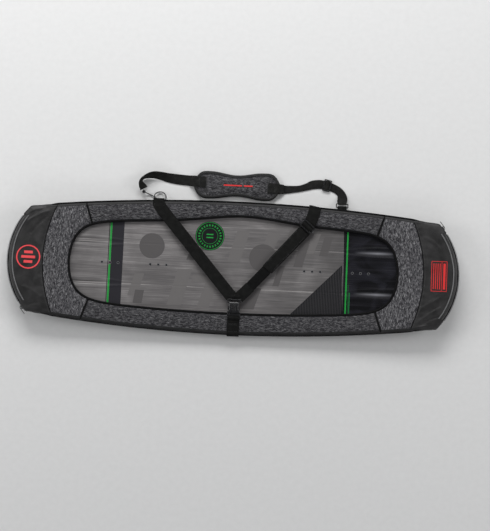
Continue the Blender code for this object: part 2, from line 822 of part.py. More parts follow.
ring_up = Vector((0, math.sin(TILT), math.cos(TILT)))

path = [on_ring(D_RING_X + x, 0.0) for x in (-0.0165, -0.006, 0.006, 0.0165)]
path += [on_ring(D_RING_X + 0.0188, 0.0030)]
path += [on_bow(t) for t in np.radians(range(0, 181, 20))]
path += [on_ring(D_RING_X - 0.0188, 0.0030)]
put("d_ring", tube(path, 0.0018, ring_up, closed=True), "steel", "carry_strap")

path = [on_ring(RING_X + x, out) for x, out in RING_PATH]
put("ring_right", tube(path, 0.0015, ring_up, closed=True), "steel", "carry_strap")

# ---------------------------------------------------------------- carry strap: snap hook
HOOK_RUN = Vector((-0.9200, 0.3919, 0.0))     # from the D ring towards the webbing
HOOK_SIDE = HOOK_RUN.cross(UP)
HOOK_CENTRE = on_bow(math.radians(175)) + HOOK_RUN * 0.0122
HOOK_CENTRE.z = 0.0097
HOOK_HALF_L, HOOK_HALF_H = 0.0175, 0.0070
GATE_PIVOT = HOOK_CENTRE + HOOK_RUN * 0.0085 + UP * 0.0052

# swivel: distance along the hook, half width, half height
SWIVEL = (
    (0.0195, 0.0030, 0.0030), (0.0220, 0.0045, 0.0042),
    (0.0245, 0.0050, 0.0060), (0.0285, 0.0050, 0.0070),
)

path = [
    HOOK_CENTRE + HOOK_RUN * HOOK_HALF_L * math.cos(t) + UP * HOOK_HALF_H * math.sin(t)
    for t in np.radians(np.linspace(130, 410, 15))
]
put("snap_hook", tube(path, 0.0016, HOOK_SIDE), "steel", "carry_strap")

body("gate", GATE_PIVOT)
path = [GATE_PIVOT + HOOK_RUN * a for a in (0.0004, -0.0088, -0.0176)]
put("hook_gate", tube(path, 0.0011, HOOK_SIDE, sides=6), "steel", "gate")

sections = [
    rectangle_round(HOOK_CENTRE + HOOK_RUN * along, HOOK_SIDE * half_w, UP * half_h)
    for along, half_w, half_h in SWIVEL
]
put("hook_swivel", loft(sections), "hard_plastic", "carry_strap")

# ---------------------------------------------------------------- carry strap: webbing
SHOULDER_WEB_T = 0.0015
WEB = [
    # x, y, z of the middle line, turn of the webbing about it (90 = on its edge), width
    (-0.2954, 0.2420, 0.0090, 26, 0.0280), (-0.2980, 0.2468, 0.0102, 33, 0.0285),
    (-0.3015, 0.2520, 0.0118, 42, 0.0285), (-0.3050, 0.2610, 0.0132, 60, 0.0270),
    (-0.3040, 0.2700, 0.0140, 78, 0.0265), (-0.2955, 0.2775, 0.0143, 76, 0.0270),
    (-0.2820, 0.2835, 0.0138, 62, 0.0285), (-0.2640, 0.2868, 0.0125, 48, 0.0295),
    (-0.2437, 0.2850, 0.0102, 38, 0.0300), (-0.2192, 0.2805, 0.0068, 22, 0.0305),
    (-0.1960, 0.2782, 0.0030, 6, 0.0320), (-0.1760, 0.2766, 0.0013, 0, 0.0330),
    (-0.1434, 0.2745, 0.0013, 0, 0.0335), (-0.1000, 0.2710, 0.0013, 0, 0.0335),
    (0.0, 0.2650, 0.0013, 0, 0.0335), (0.1000, 0.2612, 0.0013, 0, 0.0320),
    (0.1364, 0.2597, 0.0013, 0, 0.0300), (0.1626, 0.2604, 0.0013, 0, 0.0250),
    (0.2000, 0.2650, 0.0013, 0, 0.0205), (0.2280, 0.2737, 0.0013, 0, 0.0240),
    (0.2408, 0.2790, 0.0013, 0, 0.0280), (0.2640, 0.2822, 0.0013, 0, 0.0280),
    (0.2840, 0.2800, 0.0013, 0, 0.0245), (0.3050, 0.2730, 0.0013, 0, 0.0250),
    (0.3205, 0.2655, 0.0013, 0, 0.0250), (0.3305, 0.2570, 0.0013, 0, 0.0255),
    (0.3360, 0.2470, 0.0020, 0, 0.0290), (0.3375, 0.2370, 0.0042, 0, 0.0320),
    (0.3370, 0.2265, 0.0085, 0, 0.0290),
]


def shoulder_webbing():
    sections = []
    for k, (x, y, z, turn, width) in enumerate(WEB):
        run = Vector(WEB[min(k + 1, len(WEB) - 1)][:3]) - Vector(WEB[max(k - 1, 0)][:3])
        run.normalize()
        flat = Vector((-run.y, run.x, 0)).normalized()
        upward = run.cross(flat)
        angle = math.radians(turn)
        across = math.cos(angle) * flat + math.sin(angle) * upward
        face = run.cross(across)
        half_t = face * (SHOULDER_WEB_T / 2)
        sections.append(rectangle_round(Vector((x, y, z)), across * width / 2, half_t))
    put("shoulder_webbing", loft(sections), "webbing", "carry_strap")


shoulder_webbing()

# ---------------------------------------------------------------- shoulder pad
PAD_Y, PAD_HALF_L = 0.264, 0.138
PAD_BOTTOM = 0.0026
PAD_WAIST, PAD_LOBE = 0.0335, 0.0105     # half width at the middle, and what the lobes add

# name, inset from the outline, heights, kind
PAD_LAYERS = (
    ("pad_backing", 0.0030, (PAD_BOTTOM, 0.0036), "lining"),
    ("pad_foam", 0.0033, (0.0039, 0.0105), "foam"),
    ("pad_top_cover", 0.0030, (0.0108, 0.0118), "heather"),
)
PAD_BINDING_W, PAD_BINDING_H = 0.0027, (0.0032, 0.0112)


def pad_half_w(fraction):
    """Half width of the waisted, two-lobed pad at a fraction of its half length."""
    t = abs(fraction)
    lobe = PAD_WAIST + PAD_LOBE * math.sin(min(t / 0.62, 1.0) * math.pi / 2) ** 2
    return lobe * (1.0 - max(0.0, (t - 0.70) / 0.30) ** 2.6 * 0.80)


def on_pad(x, y, z):
    return Vector((x, PAD_Y + y, z))


body("pad", (0.0, PAD_Y, PAD_BOTTOM))

pad_ends = [0.78, 0.86, 0.92, 0.965, 0.99]
pad_stations = [-t for t in pad_ends[::-1]] + list(np.linspace(-0.70, 0.70, 13)) + pad_ends
pad_line = [(t * PAD_HALF_L, pad_half_w(t)) for t in pad_stations]

for name, inset, heights, kind in PAD_LAYERS:
    put(name, full_sheet(inset_line(pad_line, inset), heights, place=on_pad), kind, "pad")

pad_outline = mirrored_loop(pad_line)
pad_inner = offset(pad_outline, -PAD_BINDING_W)
pad_binding = layer(pad_outline, pad_inner, PAD_BINDING_H, ring=True, place=on_pad)
put("pad_binding", pad_binding, "black_nylon", "pad")

# ---------------------------------------------------------------- strap adjuster
ADJUSTER_BASE = Vector((0.2870, 0.2788, 0.0026))
ADJUSTER_RUN = Vector((0.9757, -0.2190, 0.0))

body("adjuster", ADJUSTER_BASE)
strap_slide(
    "strap_adjuster",
    (ADJUSTER_BASE, ADJUSTER_RUN, UP.cross(ADJUSTER_RUN), UP),
    half_width=0.0190,
    cut_top=0.005,
    owner="adjuster",
)
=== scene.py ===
"""A twin-tip board packed in its padded carry sleeve, with the carry strap laid out beside it.

The board runs along X and rises at both ends on a rocker circle that touches the floor at the
origin; Y is across it and Z is up. Flat coordinates (x, y, z) are rolled onto that circle: x is
the distance along it, y across it, z above the underside. Metres. "right" is +X, "far" is +Y.
"""
import json
import math

import bmesh
import bpy
import numpy as np
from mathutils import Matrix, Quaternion, Vector
from mathutils.bvhtree import BVHTree


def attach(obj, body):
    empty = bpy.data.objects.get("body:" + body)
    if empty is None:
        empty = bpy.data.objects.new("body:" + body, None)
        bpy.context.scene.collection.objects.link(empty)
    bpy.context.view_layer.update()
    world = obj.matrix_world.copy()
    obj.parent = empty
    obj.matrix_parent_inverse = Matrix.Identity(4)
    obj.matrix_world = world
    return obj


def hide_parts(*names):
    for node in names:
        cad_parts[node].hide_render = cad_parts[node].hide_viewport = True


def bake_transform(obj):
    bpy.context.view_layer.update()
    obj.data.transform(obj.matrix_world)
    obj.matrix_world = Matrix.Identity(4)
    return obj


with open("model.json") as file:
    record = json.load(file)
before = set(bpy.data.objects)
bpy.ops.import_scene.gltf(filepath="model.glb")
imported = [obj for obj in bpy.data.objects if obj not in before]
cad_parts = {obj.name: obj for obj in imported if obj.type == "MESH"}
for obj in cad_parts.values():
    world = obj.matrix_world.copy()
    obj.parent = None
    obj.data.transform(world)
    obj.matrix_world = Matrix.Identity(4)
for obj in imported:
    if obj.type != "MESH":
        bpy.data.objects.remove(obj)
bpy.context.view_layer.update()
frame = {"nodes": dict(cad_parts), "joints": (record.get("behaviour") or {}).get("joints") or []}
NODES = frame["nodes"]
JOINTS = {joint["name"]: joint for joint in frame["joints"]}

ENDS = ((1, "right"), (-1, "left"))
SIDES = ((1, "far"), (-1, "near"))
X_AXIS, Y_AXIS, Z_AXIS = np.eye(3)
TURN = 6.283  # one turn, in the cloth's waves and the weaves

ROCKER = JOINTS["board_draw"]["pos_m"][2]  # radius of the rocker circle
END_X, END_R = 0.4646, 0.2444  # centre and radius of the sleeve's end arcs
SIDE_END = 0.642  # where the sleeve's long sides meet the end arcs
COVER_INSET = 0.0018  # from the sleeve's edge to the edge of its covers
WINDOW_X = 0.522  # half length of the opening
SEAM_IN, SEAM_OUT = 0.452, 0.474  # the diagonal seams, at the opening and at the edge
CORNER_X = 0.5625  # where the cap seams meet the long sides
FOLD_X = 0.6435  # the fold of the end flaps
FOLD_START, FOLD_STOP = FOLD_X - 0.012, FOLD_X + 0.010
FLAP_Y = 0.1364  # half width of a flap
ZIP_X, ZIP_Z = 0.67, 0.0047  # station whose tangent sets the zip's plane, and the zip's height
ZIP_ANGLE = 34  # half of the zip's arc, degrees
SLIDER_ANGLE = math.radians(38.6)
BUCKLE_X = 0.008
BOARD_END_R = 0.2254
DECK_Z = 0.0185
CHANNEL_Y = 0.065  # the deck's two long channels
V_STRAP_W = 0.038


# ------------------------------------------------------------------ lines and surfaces
def roll(points):
    """Flat (..., 3) points as world points."""
    points = np.asarray(points, float)
    angle = points[..., 0] / ROCKER
    radius = ROCKER - points[..., 2]
    return np.stack([radius * np.sin(angle), points[..., 1], ROCKER - radius * np.cos(angle)], -1)


def lay(points, z):
    """Flat (..., 2) points at the heights z, as world points."""
    points = np.asarray(points, float)
    z = np.broadcast_to(np.asarray(z, float), points.shape[:-1])
    return roll(np.concatenate([points, z[..., None]], -1))


def normal_at(x):
    return np.array([-math.sin(x / ROCKER), 0.0, math.cos(x / ROCKER)])


def tangent_at(x):
    return np.array([math.cos(x / ROCKER), 0.0, math.sin(x / ROCKER)])


def placer(origin, x_axis, y_axis, z_axis):
    """A function that turns local (..., 3) points into world ones."""

    def place(points):
        points = np.asarray(points, float)
        return (
            origin + points[..., :1] * x_axis + points[..., 1:2] * y_axis + points[..., 2:3] * z_axis
        )

    return place


def ridge(gap, height, width):
    return height * np.exp(-((gap / width) ** 2))


def smoothstep(value):
    return value * value * (3 - 2 * value)


def side_w(x):
    """Half width of the sleeve along its long sides."""
    return 0.208 - 0.1046 * np.square(x)


def sleeve_w(x):
    x = np.abs(x)
    arc = np.sqrt(np.maximum(END_R**2 - np.square(x - END_X), 1e-9))
    return np.where(x < SIDE_END, side_w(x), arc)


def opening(x, sign):
    """Half width of the opening; its far side bulges near the middle."""
    x = np.asarray(x, float)
    reach = np.minimum(np.abs(x) / WINDOW_X, 1.0)
    root = np.sqrt(np.maximum(1.0 - reach**14, 0.0))
    width = (0.148 - 0.0915 * x * x) * root
    bulge = 0.020 * np.exp(-((x - 0.03) ** 2) / (2 * 0.11**2)) * root
    return width + (bulge if sign > 0 else 0.0)


def cap_seam(end, y):
    """The curved seam between an end cover and its cap."""
    return np.stack([end * (0.600 - 1.25 * np.square(y)), y], -1)


def end_arc(end, radius, degrees):
    """Flat points about an end arc's centre."""
    angle = np.radians(degrees)
    return np.stack([end * (END_X + radius * np.cos(angle)), radius * np.sin(angle)], -1)


def lengths(line):
    """Distance run at each point of a line."""
    return np.r_[0, np.cumsum(np.linalg.norm(np.diff(line, axis=0), axis=1))]


def resample(line, count):
    """An open polyline as count points, evenly spaced."""
    line = np.asarray(line, float)
    run = lengths(line)
    at = np.linspace(0, run[-1], count)
    return np.stack([np.interp(at, run, line[:, k]) for k in range(line.shape[1])], -1)


def spline(points, count):
    """A smooth curve through control points (Catmull-Rom), evenly resampled."""
    knots = np.asarray(points, float)
    knots = np.r_[2 * knots[:1] - knots[1:2], knots, 2 * knots[-1:] - knots[-2:-1]]
    out = []
    for k in range(1, len(knots) - 2):
        before, start, stop, after = knots[k - 1 : k + 3]
        linear = stop - before
        square = 2 * before - 5 * start + 4 * stop - after
        cubic = 3 * start - before - 3 * stop + after
        for t in np.linspace(0, 1, 12, endpoint=False):
            out.append(0.5 * (2 * start + linear * t + square * t**2 + cubic * t**3))
    out.append(knots[-2])
    return resample(out, count)


def left_of(line):
    """Unit vectors square to an open flat line, on its left."""
    step = np.gradient(line, axis=0)
    return np.stack([-step[:, 1], step[:, 0]], -1) / np.linalg.norm(step, axis=1)[:, None]


def level_side(path):
    """The same for a world path, kept level."""
    return np.c_[left_of(path[:, :2]), np.zeros(len(path))]


def outward_of(loop):
    """Unit vectors that point out of a closed flat loop round the origin."""
    step = np.roll(loop, -1, 0) - np.roll(loop, 1, 0)
    normal = np.stack([-step[:, 1], step[:, 0]], -1) / np.linalg.norm(step, axis=1)[:, None]
    return -normal if (normal * loop).sum() < 0 else normal


def window_line(first, last, sign):
    """The opening's edge on one side, between two stations."""
    phase = np.linspace(-math.pi / 2, math.pi / 2, 600)
    x = WINDOW_X * np.sign(phase) * (1 - (1 - np.sin(np.abs(phase))) ** 0.9)
    x = np.unique(np.r_[x, np.linspace(-0.46, 0.46, 200)])
    x = np.r_[first, x[(x >= first) & (x <= last)], last]
    return np.stack([x, sign * opening(x, sign)], -1)


def outline_line(sign):
    """The sleeve's edge on one side, from left to right."""
    x = np.linspace(-SIDE_END, SIDE_END, 160)
    right = end_arc(1, END_R, np.linspace(42.5, 0.0, 40))
    left = end_arc(-1, END_R, np.linspace(0.0, 42.5, 40))
    return np.r_[left, np.stack([x, side_w(x)], -1), right] * [1, sign]


def distance(points, line, closed=False):
    """Shortest distance from each flat point to a polyline."""
    flat = points.reshape(-1, 2)
    start, stop = line[:-1], line[1:]
    if closed:
        start, stop = np.r_[start, line[-1:]], np.r_[stop, line[:1]]
    best = np.full(len(flat), 1e9)
    edge = stop - start
    squared = np.maximum((edge**2).sum(1), 1e-12)
    chunk = 4000
    for low in range(0, len(flat), chunk):
        away = flat[low : low + chunk, None, :] - start[None]
        t = np.clip((away * edge).sum(-1) / squared, 0, 1)
        gap = np.linalg.norm(away - t[..., None] * edge, axis=-1)
        best[low : low + chunk] = gap.min(1)
    return best.reshape(points.shape[:-1])


WINDOW = np.r_[
    window_line(-WINDOW_X, WINDOW_X, 1)[:-1], window_line(-WINDOW_X, WINDOW_X, -1)[::-1][:-1]
]
WINDOW = resample(np.r_[WINDOW, WINDOW[:1]], 481)[:-1]
WINDOW_OUT = outward_of(WINDOW)
OUTLINE = np.r_[outline_line(1), outline_line(-1)[::-1]]
CAP_SEAMS = [cap_seam(end, np.linspace(-0.175, 0.175, 60)) for end, _ in ENDS]
DIAGONALS = [
    np.array([
        [end * SEAM_IN, sign * float(opening(SEAM_IN, sign))],
        [end * SEAM_OUT, sign * float(side_w(SEAM_OUT))],
    ])
    for end, _ in ENDS
    for sign, _ in SIDES
]

rng = np.random.default_rng(11)
# direction, phase and weight of each wave
WAVES = [(rng.normal(size=2), rng.uniform(0, 6.28), rng.uniform(0.6, 1.0)) for _ in range(26)]


def ripple(points, wavelength):
    """Smooth seeded unevenness of cloth, about -1 to 1."""
    total = np.zeros(points.shape[:-1])
    for direction, phase, weight in WAVES:
        wave = direction / np.linalg.norm(direction) * (TURN / wavelength) * weight
        total += np.sin(points @ wave + phase)
    return total / 6.0


# long soft creases of the caps: from, to, height, width
CREASES = [
    ((-0.590, 0.150), (-0.650, 0.118), 0.0014, 0.0042),
    ((-0.596, 0.132), (-0.640, 0.080), -0.0011, 0.0050),
    ((-0.612, 0.158), (-0.655, 0.140), 0.0012, 0.0034),
    ((-0.600, -0.120), (-0.655, -0.090), 0.0009, 0.0050),
    ((-0.604, 0.050), (-0.622, -0.060), -0.0008, 0.0060),
    ((-0.606, -0.140), (-0.640, -0.150), -0.0010, 0.0040),
    ((0.585, -0.150), (0.655, -0.100), 0.0014, 0.0042),
    ((0.596, -0.156), (0.650, -0.128), -0.0013, 0.0036),
    ((0.590, -0.112), (0.650, -0.070), 0.0010, 0.0055),
    ((0.600, 0.120), (0.646, 0.090), 0.0009, 0.0050),
    ((0.612, 0.070), (0.616, -0.040), -0.0007, 0.0060),
    ((0.578, -0.166), (0.625, -0.158), 0.0011, 0.0034),
]


def cover_height(points):
    """Height of the sleeve's padded top at flat points (..., 2)."""
    to_window = distance(points, WINDOW, closed=True)
    to_edge = distance(points, OUTLINE, closed=True)
    to_seam = np.minimum.reduce([distance(points, line) for line in CAP_SEAMS])
    to_diagonal = np.minimum.reduce([distance(points, line) for line in DIAGONALS])
    puff = (1 - np.exp(-to_window / 0.011)) * (1 - np.exp(-to_edge / 0.012))
    z = 0.0258 + 0.0038 * puff
    # pulled down at the edge and along the seams
    z -= 0.0034 * np.exp(-to_edge / 0.0032)
    z -= ridge(to_seam, 0.0016, 0.0045) + ridge(to_diagonal, 0.0017, 0.0042)
    # gathers that run into the cap seams and the opening, then the slackness of the cloth
    fade = np.exp(-to_seam / 0.016) * np.minimum(to_seam / 0.004, 1)
    z += 0.00035 * np.sin(points[..., 1] * TURN / 0.021 + 1.3 * ripple(points, 0.09)) * fade
    fade = np.exp(-to_window / 0.012) * np.minimum(to_window / 0.004, 1)
    z += 0.00028 * np.sin(points[..., 0] * TURN / 0.026 + 1.7 * ripple(points, 0.12)) * fade
    z += 0.00045 * ripple(points, 0.085) * puff + 0.00022 * ripple(points, 0.032) * puff
    if np.abs(points[..., 0]).max() > 0.55:
        clear = np.clip(to_edge / 0.010, 0, 1) * np.clip(to_seam / 0.006, 0, 1)
        for start, stop, height, width in CREASES:
            line = resample(np.array([start, stop]), 7)
            line[:, 1] += 0.004 * np.sin(np.linspace(0, math.pi, 7))
            z += clear * ridge(distance(points, line), height, width)
    return z


def on_cover(points, lift=0.0):
    """Flat points laid on the sleeve's top, as world points."""
    points = np.asarray(points, float)
    return lay(points, cover_height(points) + lift)


def above_cover(lift):
    """A stitch placer at this lift over the sleeve's top."""
    return lambda points, bow: on_cover(points, lift + bow)


# ------------------------------------------------------------------ meshes
def register(obj, body=None, replaces=None):
    if body:
        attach(obj, body)
    if replaces:
        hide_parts(replaces)
    return obj


def smooth_mesh(mesh, degrees):
    """Smooth shading, with edges sharper than this kept sharp."""
    mesh.shade_smooth()
    mesh.set_sharp_from_angle(angle=math.radians(degrees))


def store_uvw(mesh, uvw):
    layer = mesh.attributes.new("uvw", "FLOAT_VECTOR", "POINT")
    layer.data.foreach_set("vector", np.asarray(uvw, np.float32).reshape(-1))


def make(name, verts, faces, material, uvw=None, sharp=None, smooth=True):
    mesh = bpy.data.meshes.new(name)
    mesh.from_pydata(np.asarray(verts, float).reshape(-1, 3).tolist(), [], faces)
    mesh.update()
    if uvw is not None:
        store_uvw(mesh, uvw)
    mesh.materials.append(material)
    obj = bpy.data.objects.new(name, mesh)
    bpy.context.scene.collection.objects.link(obj)
    if sharp:
        smooth_mesh(mesh, sharp)
    elif smooth:
        mesh.shade_smooth()
    return obj


def apply_all(obj):
    """Apply every modifier."""
    graph = bpy.context.evaluated_depsgraph_get()
    mesh = bpy.data.meshes.new_from_object(
        obj.evaluated_get(graph), preserve_all_data_layers=True, depsgraph=graph
    )
    obj.modifiers.clear()
    obj.data = mesh


def outward(obj):
    bm = bmesh.new()
    bm.from_mesh(obj.data)
    bmesh.ops.recalc_face_normals(bm, faces=bm.faces)
    bm.to_mesh(obj.data)
    bm.free()


def grid_faces(rows, columns, closed_rows=False, closed_columns=False, base=0):
    faces = []
    for i in range(rows if closed_rows else rows - 1):
        for j in range(columns if closed_columns else columns - 1):
            row, after = base + i * columns, base + ((i + 1) % rows) * columns
            beside = (j + 1) % columns
            faces.append((row + j, after + j, after + beside, row + beside))
    return faces


def solid_faces(count, sides, closed=False, base=0):
    """Faces of a tube of sections; its ends are capped unless it closes on itself."""
    faces = grid_faces(count, sides, closed, True, base)
    if not closed:
        last = base + (count - 1) * sides
        faces.append(tuple(range(base, base + sides))[::-1])
        faces.append(tuple(range(last, last + sides)))
    return faces


def pattern(points):
    """Cloth coordinates of flat points."""
    points = np.asarray(points, float)
    return np.concatenate([points, np.zeros(points.shape[:-1] + (1,))], -1)


def strip_uv(along, around):
    """Cloth coordinates of a strip, from values along it and round it."""
    along, around = np.broadcast_arrays(along[:, None], around)
    return np.stack([along, around, 0 * along], -1)


def sheet(name, top, material, uvw, thick=0.0012, body="root",
          replaces=None, downward=False):
    """A cloth sheet from a grid of world points, given thickness behind its shown face."""
    obj = make(name, top, grid_faces(*top.shape[:2]), material, uvw)
    facing = sum((face.normal * face.area for face in obj.data.polygons), Vector())
    if (facing.z < 0) != downward:
        obj.data.flip_normals()
    solid = obj.modifiers.new("thickness", "SOLIDIFY")
    solid.thickness = thick
    solid.offset = -1
    solid.use_rim = True
    apply_all(obj)
    smooth_mesh(obj.data, 55)
    return register(obj, body, replaces)


def between(start, stop, columns):
    """Grid of flat points between two lines of equal count."""
    t = np.linspace(0, 1, columns)[None, :, None]
    return start[:, None, :] * (1 - t) + stop[:, None, :] * t


def panel(name, start, stop, material, columns, replaces=None):
    """Padded cloth between two flat lines."""
    grid = between(start, stop, columns)
    sheet(name, on_cover(grid), material, pattern(grid), replaces=replaces)


def loft(name, sections, material, uvw=None, closed=False, sharp=50, body=None,
         replaces=None):
    """A closed solid through sections (count, sides, 3)."""
    sections = np.asarray(sections, float)
    faces = solid_faces(*sections.shape[:2], closed)
    obj = make(name, sections, faces, material, uvw, sharp)
    outward(obj)
    return register(obj, body, replaces)


def frames(path, up):
    """Unit side and top vectors along a path (count, 3)."""
    run = np.gradient(path, axis=0)
    run /= np.linalg.norm(run, axis=1)[:, None]
    side = np.cross(np.broadcast_to(np.asarray(up, float), path.shape), run)
    side /= np.linalg.norm(side, axis=1)[:, None]
    return side, np.cross(run, side)


def circle_angles(sides):
    return np.arange(sides) * 2 * math.pi / sides


def round_sections(path, radius, sides, up=(0, 0, 1), closed=False, flat=1.0):
    """Round or flattened sections along a path; radius is one value or one per point."""
    if closed:
        side, top = (v[1:-1] for v in frames(np.r_[path[-1:], path, path[:1]], up))
    else:
        side, top = frames(path, up)
    angle = circle_angles(sides)[None, :, None]
    radius = np.asarray(radius, float).reshape(-1, 1, 1)
    spokes = np.cos(angle) * side[:, None] + flat * np.sin(angle) * top[:, None]
    return path[:, None] + radius * spokes


def tube(name, path, radius, material, sides, body="root", up=(0, 0, 1),
         closed=False, flat=1.0, replaces=None):
    path = np.asarray(path, float)
    sections = round_sections(path, radius, sides, up, closed, flat)
    uvw = strip_uv(lengths(path), circle_angles(sides) * float(np.mean(radius)))
    loft(name, sections, material, uvw, closed, 60, body, replaces)


def strap(name, path, side, width, material, body="root", thick=0.0015,
          replaces=None, across=9, crown=0.00015):
    """Webbing along a world path, its width along side: rounded selvedges and a slight crown."""
    path = np.asarray(path, float)
    side = np.broadcast_to(np.asarray(side, float), path.shape)
    side = side / np.linalg.norm(side, axis=1)[:, None]
    run = np.gradient(path, axis=0)
    run /= np.linalg.norm(run, axis=1)[:, None]
    face = np.cross(run, side)
    width = np.broadcast_to(np.asarray(width, float), (len(path),))
    spread = np.linspace(-1, 1, across)
    top, low = [], []
    for t in spread:
        edge = 1 - 0.55 * abs(t) ** 14
        rise = crown * (1 - t**2)
        base = path + side * (t * width / 2)[:, None]
        top.append(base + face * (thick / 2 * edge + rise))
        low.append(base - face * (thick / 2 * edge - rise))
    loops = np.stack(top + low[::-1], 1)
    around = np.r_[spread, spread[::-1]] * 0.5
    uvw = strip_uv(lengths(path), around[None] * width[:, None])
    return loft(name, loops, material, uvw, False, 50, body, replaces)


def stitches(name, line, material, place, pitch, length=0.0026, radius=0.00034, closed=False,
             body="root"):
    """A row of thread stitches along a flat line, each a small bowed capsule."""
    line = np.asarray(line, float)
    if closed:
        line = np.r_[line, line[:1]]
    run = lengths(line)
    bow = np.array([-0.25, 0.75, 0.75, -0.25]) * radius
    radii = np.array([0.55, 1.0, 1.0, 0.55]) * radius
    verts, faces = [], []
    for middle in np.arange(pitch, run[-1] - pitch, pitch):
        at = middle + np.linspace(-0.5, 0.5, 4) * length
        flat = np.stack([np.interp(at, run, line[:, k]) for k in range(line.shape[1])], -1)
        faces += solid_faces(4, 5, base=len(verts))
        verts.extend(round_sections(place(flat, bow), radii, 5).reshape(-1, 3))
    obj = make(name, verts, faces, material, sharp=60)
    outward(obj)
    return register(obj, body)


def cut_away(obj, tool):
    cut = obj.modifiers.new("cut", "BOOLEAN")
    cut.operation = "DIFFERENCE"
    cut.solver = "EXACT"
    cut.object = tool
    apply_all(obj)
    bpy.data.objects.remove(tool, do_unlink=True)


def prism(name, outline, low, high, material, place):
    outline = np.asarray(outline, float)
    sections = [place(np.c_[outline, np.full(len(outline), z)]) for z in (low, high)]
    return loft(name, sections, material, sharp=30)


def plate(name, outline, low, high, material, place, body, replaces=None,
          bevel=0.0008, holes=()):
    """A moulded plate: a local outline pushed from low to high, holed and rounded off."""
    obj = prism(name, outline, low, high, material, place)
    for k, hole in enumerate(holes):
        cut_away(obj, prism(f"{name}_tool{k}", hole, low - 0.003, high + 0.003, material, place))
    edges = obj.modifiers.new("edges", "BEVEL")
    edges.width = bevel
    edges.segments = 3
    edges.limit_method = "ANGLE"
    edges.angle_limit = math.radians(35)
    apply_all(obj)
    smooth_mesh(obj.data, 50)
    register(obj, body, replaces)


def rounded(x0, x1, y0, y1, radius, count=4):
    """Outline of a rectangle with rounded corners."""
    corners = (
        (x1 - radius, y1 - radius, 0), (x0 + radius, y1 - radius, 90),
        (x0 + radius, y0 + radius, 180), (x1 - radius, y0 + radius, 270),
    )
    return [
        (x + radius * math.cos(t), y + radius * math.sin(t))
        for x, y, start in corners
        for t in np.radians(np.linspace(start, start + 90, count + 1))
    ]


def mirrored(half, tip=()):
    """An outline from its half below the x axis, with points on the axis between the halves."""
    return [*half, *tip, *[(x, -y) for x, y in half[::-1]]]


def soft_circle(sides, power):
    """Cosines and sines of a circle squared off by a power below one."""
    angle = circle_angles(sides)
    return [np.sign(v) * np.abs(v) ** power for v in (np.cos(angle), np.sin(angle))]


# ------------------------------------------------------------------ materials
def tint(colour, gain, add=0.0):
    return tuple(channel * gain + add for channel in colour)


class Mat:
    """A writer of node materials; inputs take sockets or plain values."""

    def __init__(self, name, rough, metal=0.0, spec=0.5):
        self.material = bpy.data.materials.new(name)
        self.material.use_nodes = True
        self.tree = self.material.node_tree
        self.shader = self.tree.nodes["Principled BSDF"]
        self.set("Roughness", rough)
        self.set("Metallic", metal)
        self.set("Specular IOR Level", spec)

    def plug(self, socket, value):
        if isinstance(value, bpy.types.NodeSocket):
            self.tree.links.new(value, socket)
        else:
            socket.default_value = (*value, 1) if socket.type == "RGBA" else value

    def set(self, name, value):
        self.plug(self.shader.inputs[name], value)

    def node(self, kind, inputs, **props):
        node = self.tree.nodes.new(kind)
        for key, value in props.items():
            setattr(node, key, value)
        for key, value in inputs.items():
            self.plug(node.inputs[key], value)
        return node

    def cloth_coords(self):
        return self.node("ShaderNodeAttribute", {}, attribute_name="uvw").outputs["Vector"]

    def object_coords(self):
        return self.node("ShaderNodeTexCoord", {}).outputs["Object"]

    def scaled(self, vector, scale):
        return self.node("ShaderNodeMapping", {"Vector": vector, "Scale": scale}).outputs[0]

    def parts(self, vector):
        return self.node("ShaderNodeSeparateXYZ", {0: vector}).outputs

    def math(self, kind, a, b=0.0, c=0.0):
        return self.node("ShaderNodeMath", {0: a, 1: b, 2: c}, operation=kind).outputs[0]

    def add(self, a, b):
        return self.math("ADD", a, b)

    def times(self, a, b):
        return self.math("MULTIPLY", a, b)

    def sine(self, value):
        return self.math("SINE", value)

    def size(self, value):
        return self.math("ABSOLUTE", value)

    def weave(self, at, scale):
        """Crossed threads: the product of a sine along x and one along y."""
        x, y, _ = self.parts(self.scaled(at, scale))
        return self.times(self.sine(x), self.sine(y))

    def noise(self, at, scale=1.0, detail=2.0, rough=0.5, warp=0.0, stretch=None):
        if stretch:
            at = self.scaled(at, stretch)
        inputs = {
            "Vector": at, "Scale": scale, "Detail": detail, "Roughness": rough, "Distortion": warp
        }
        return self.node("ShaderNodeTexNoise", inputs).outputs[0]

    def ramp(self, value, *stops):
        """Stops are (position, colour or grey level)."""
        node = self.node("ShaderNodeValToRGB", {0: value})
        elements = node.color_ramp.elements
        while len(elements) < len(stops):
            elements.new(0.5)
        for element, (position, colour) in zip(elements, stops):
            element.position = position
            element.color = (*colour, 1) if isinstance(colour, tuple) else (colour,) * 3 + (1,)
        return node.outputs[0]

    def fade(self, value, low, high):
        """0 up to low, 1 from high."""
        return self.ramp(value, (low, 0.0), (high, 1.0))

    def mix(self, factor, first, second, mode="MIX"):
        inputs = {0: factor, 6: first, 7: second}
        return self.node("ShaderNodeMix", inputs, data_type="RGBA", blend_type=mode).outputs[2]

    def paint(self, factor, first, second):
        self.set("Base Color", self.mix(factor, first, second))

    def bump(self, height, strength, distance):
        inputs = {"Height": height, "Strength": strength, "Distance": distance}
        self.set("Normal", self.node("ShaderNodeBump", inputs).outputs[0])


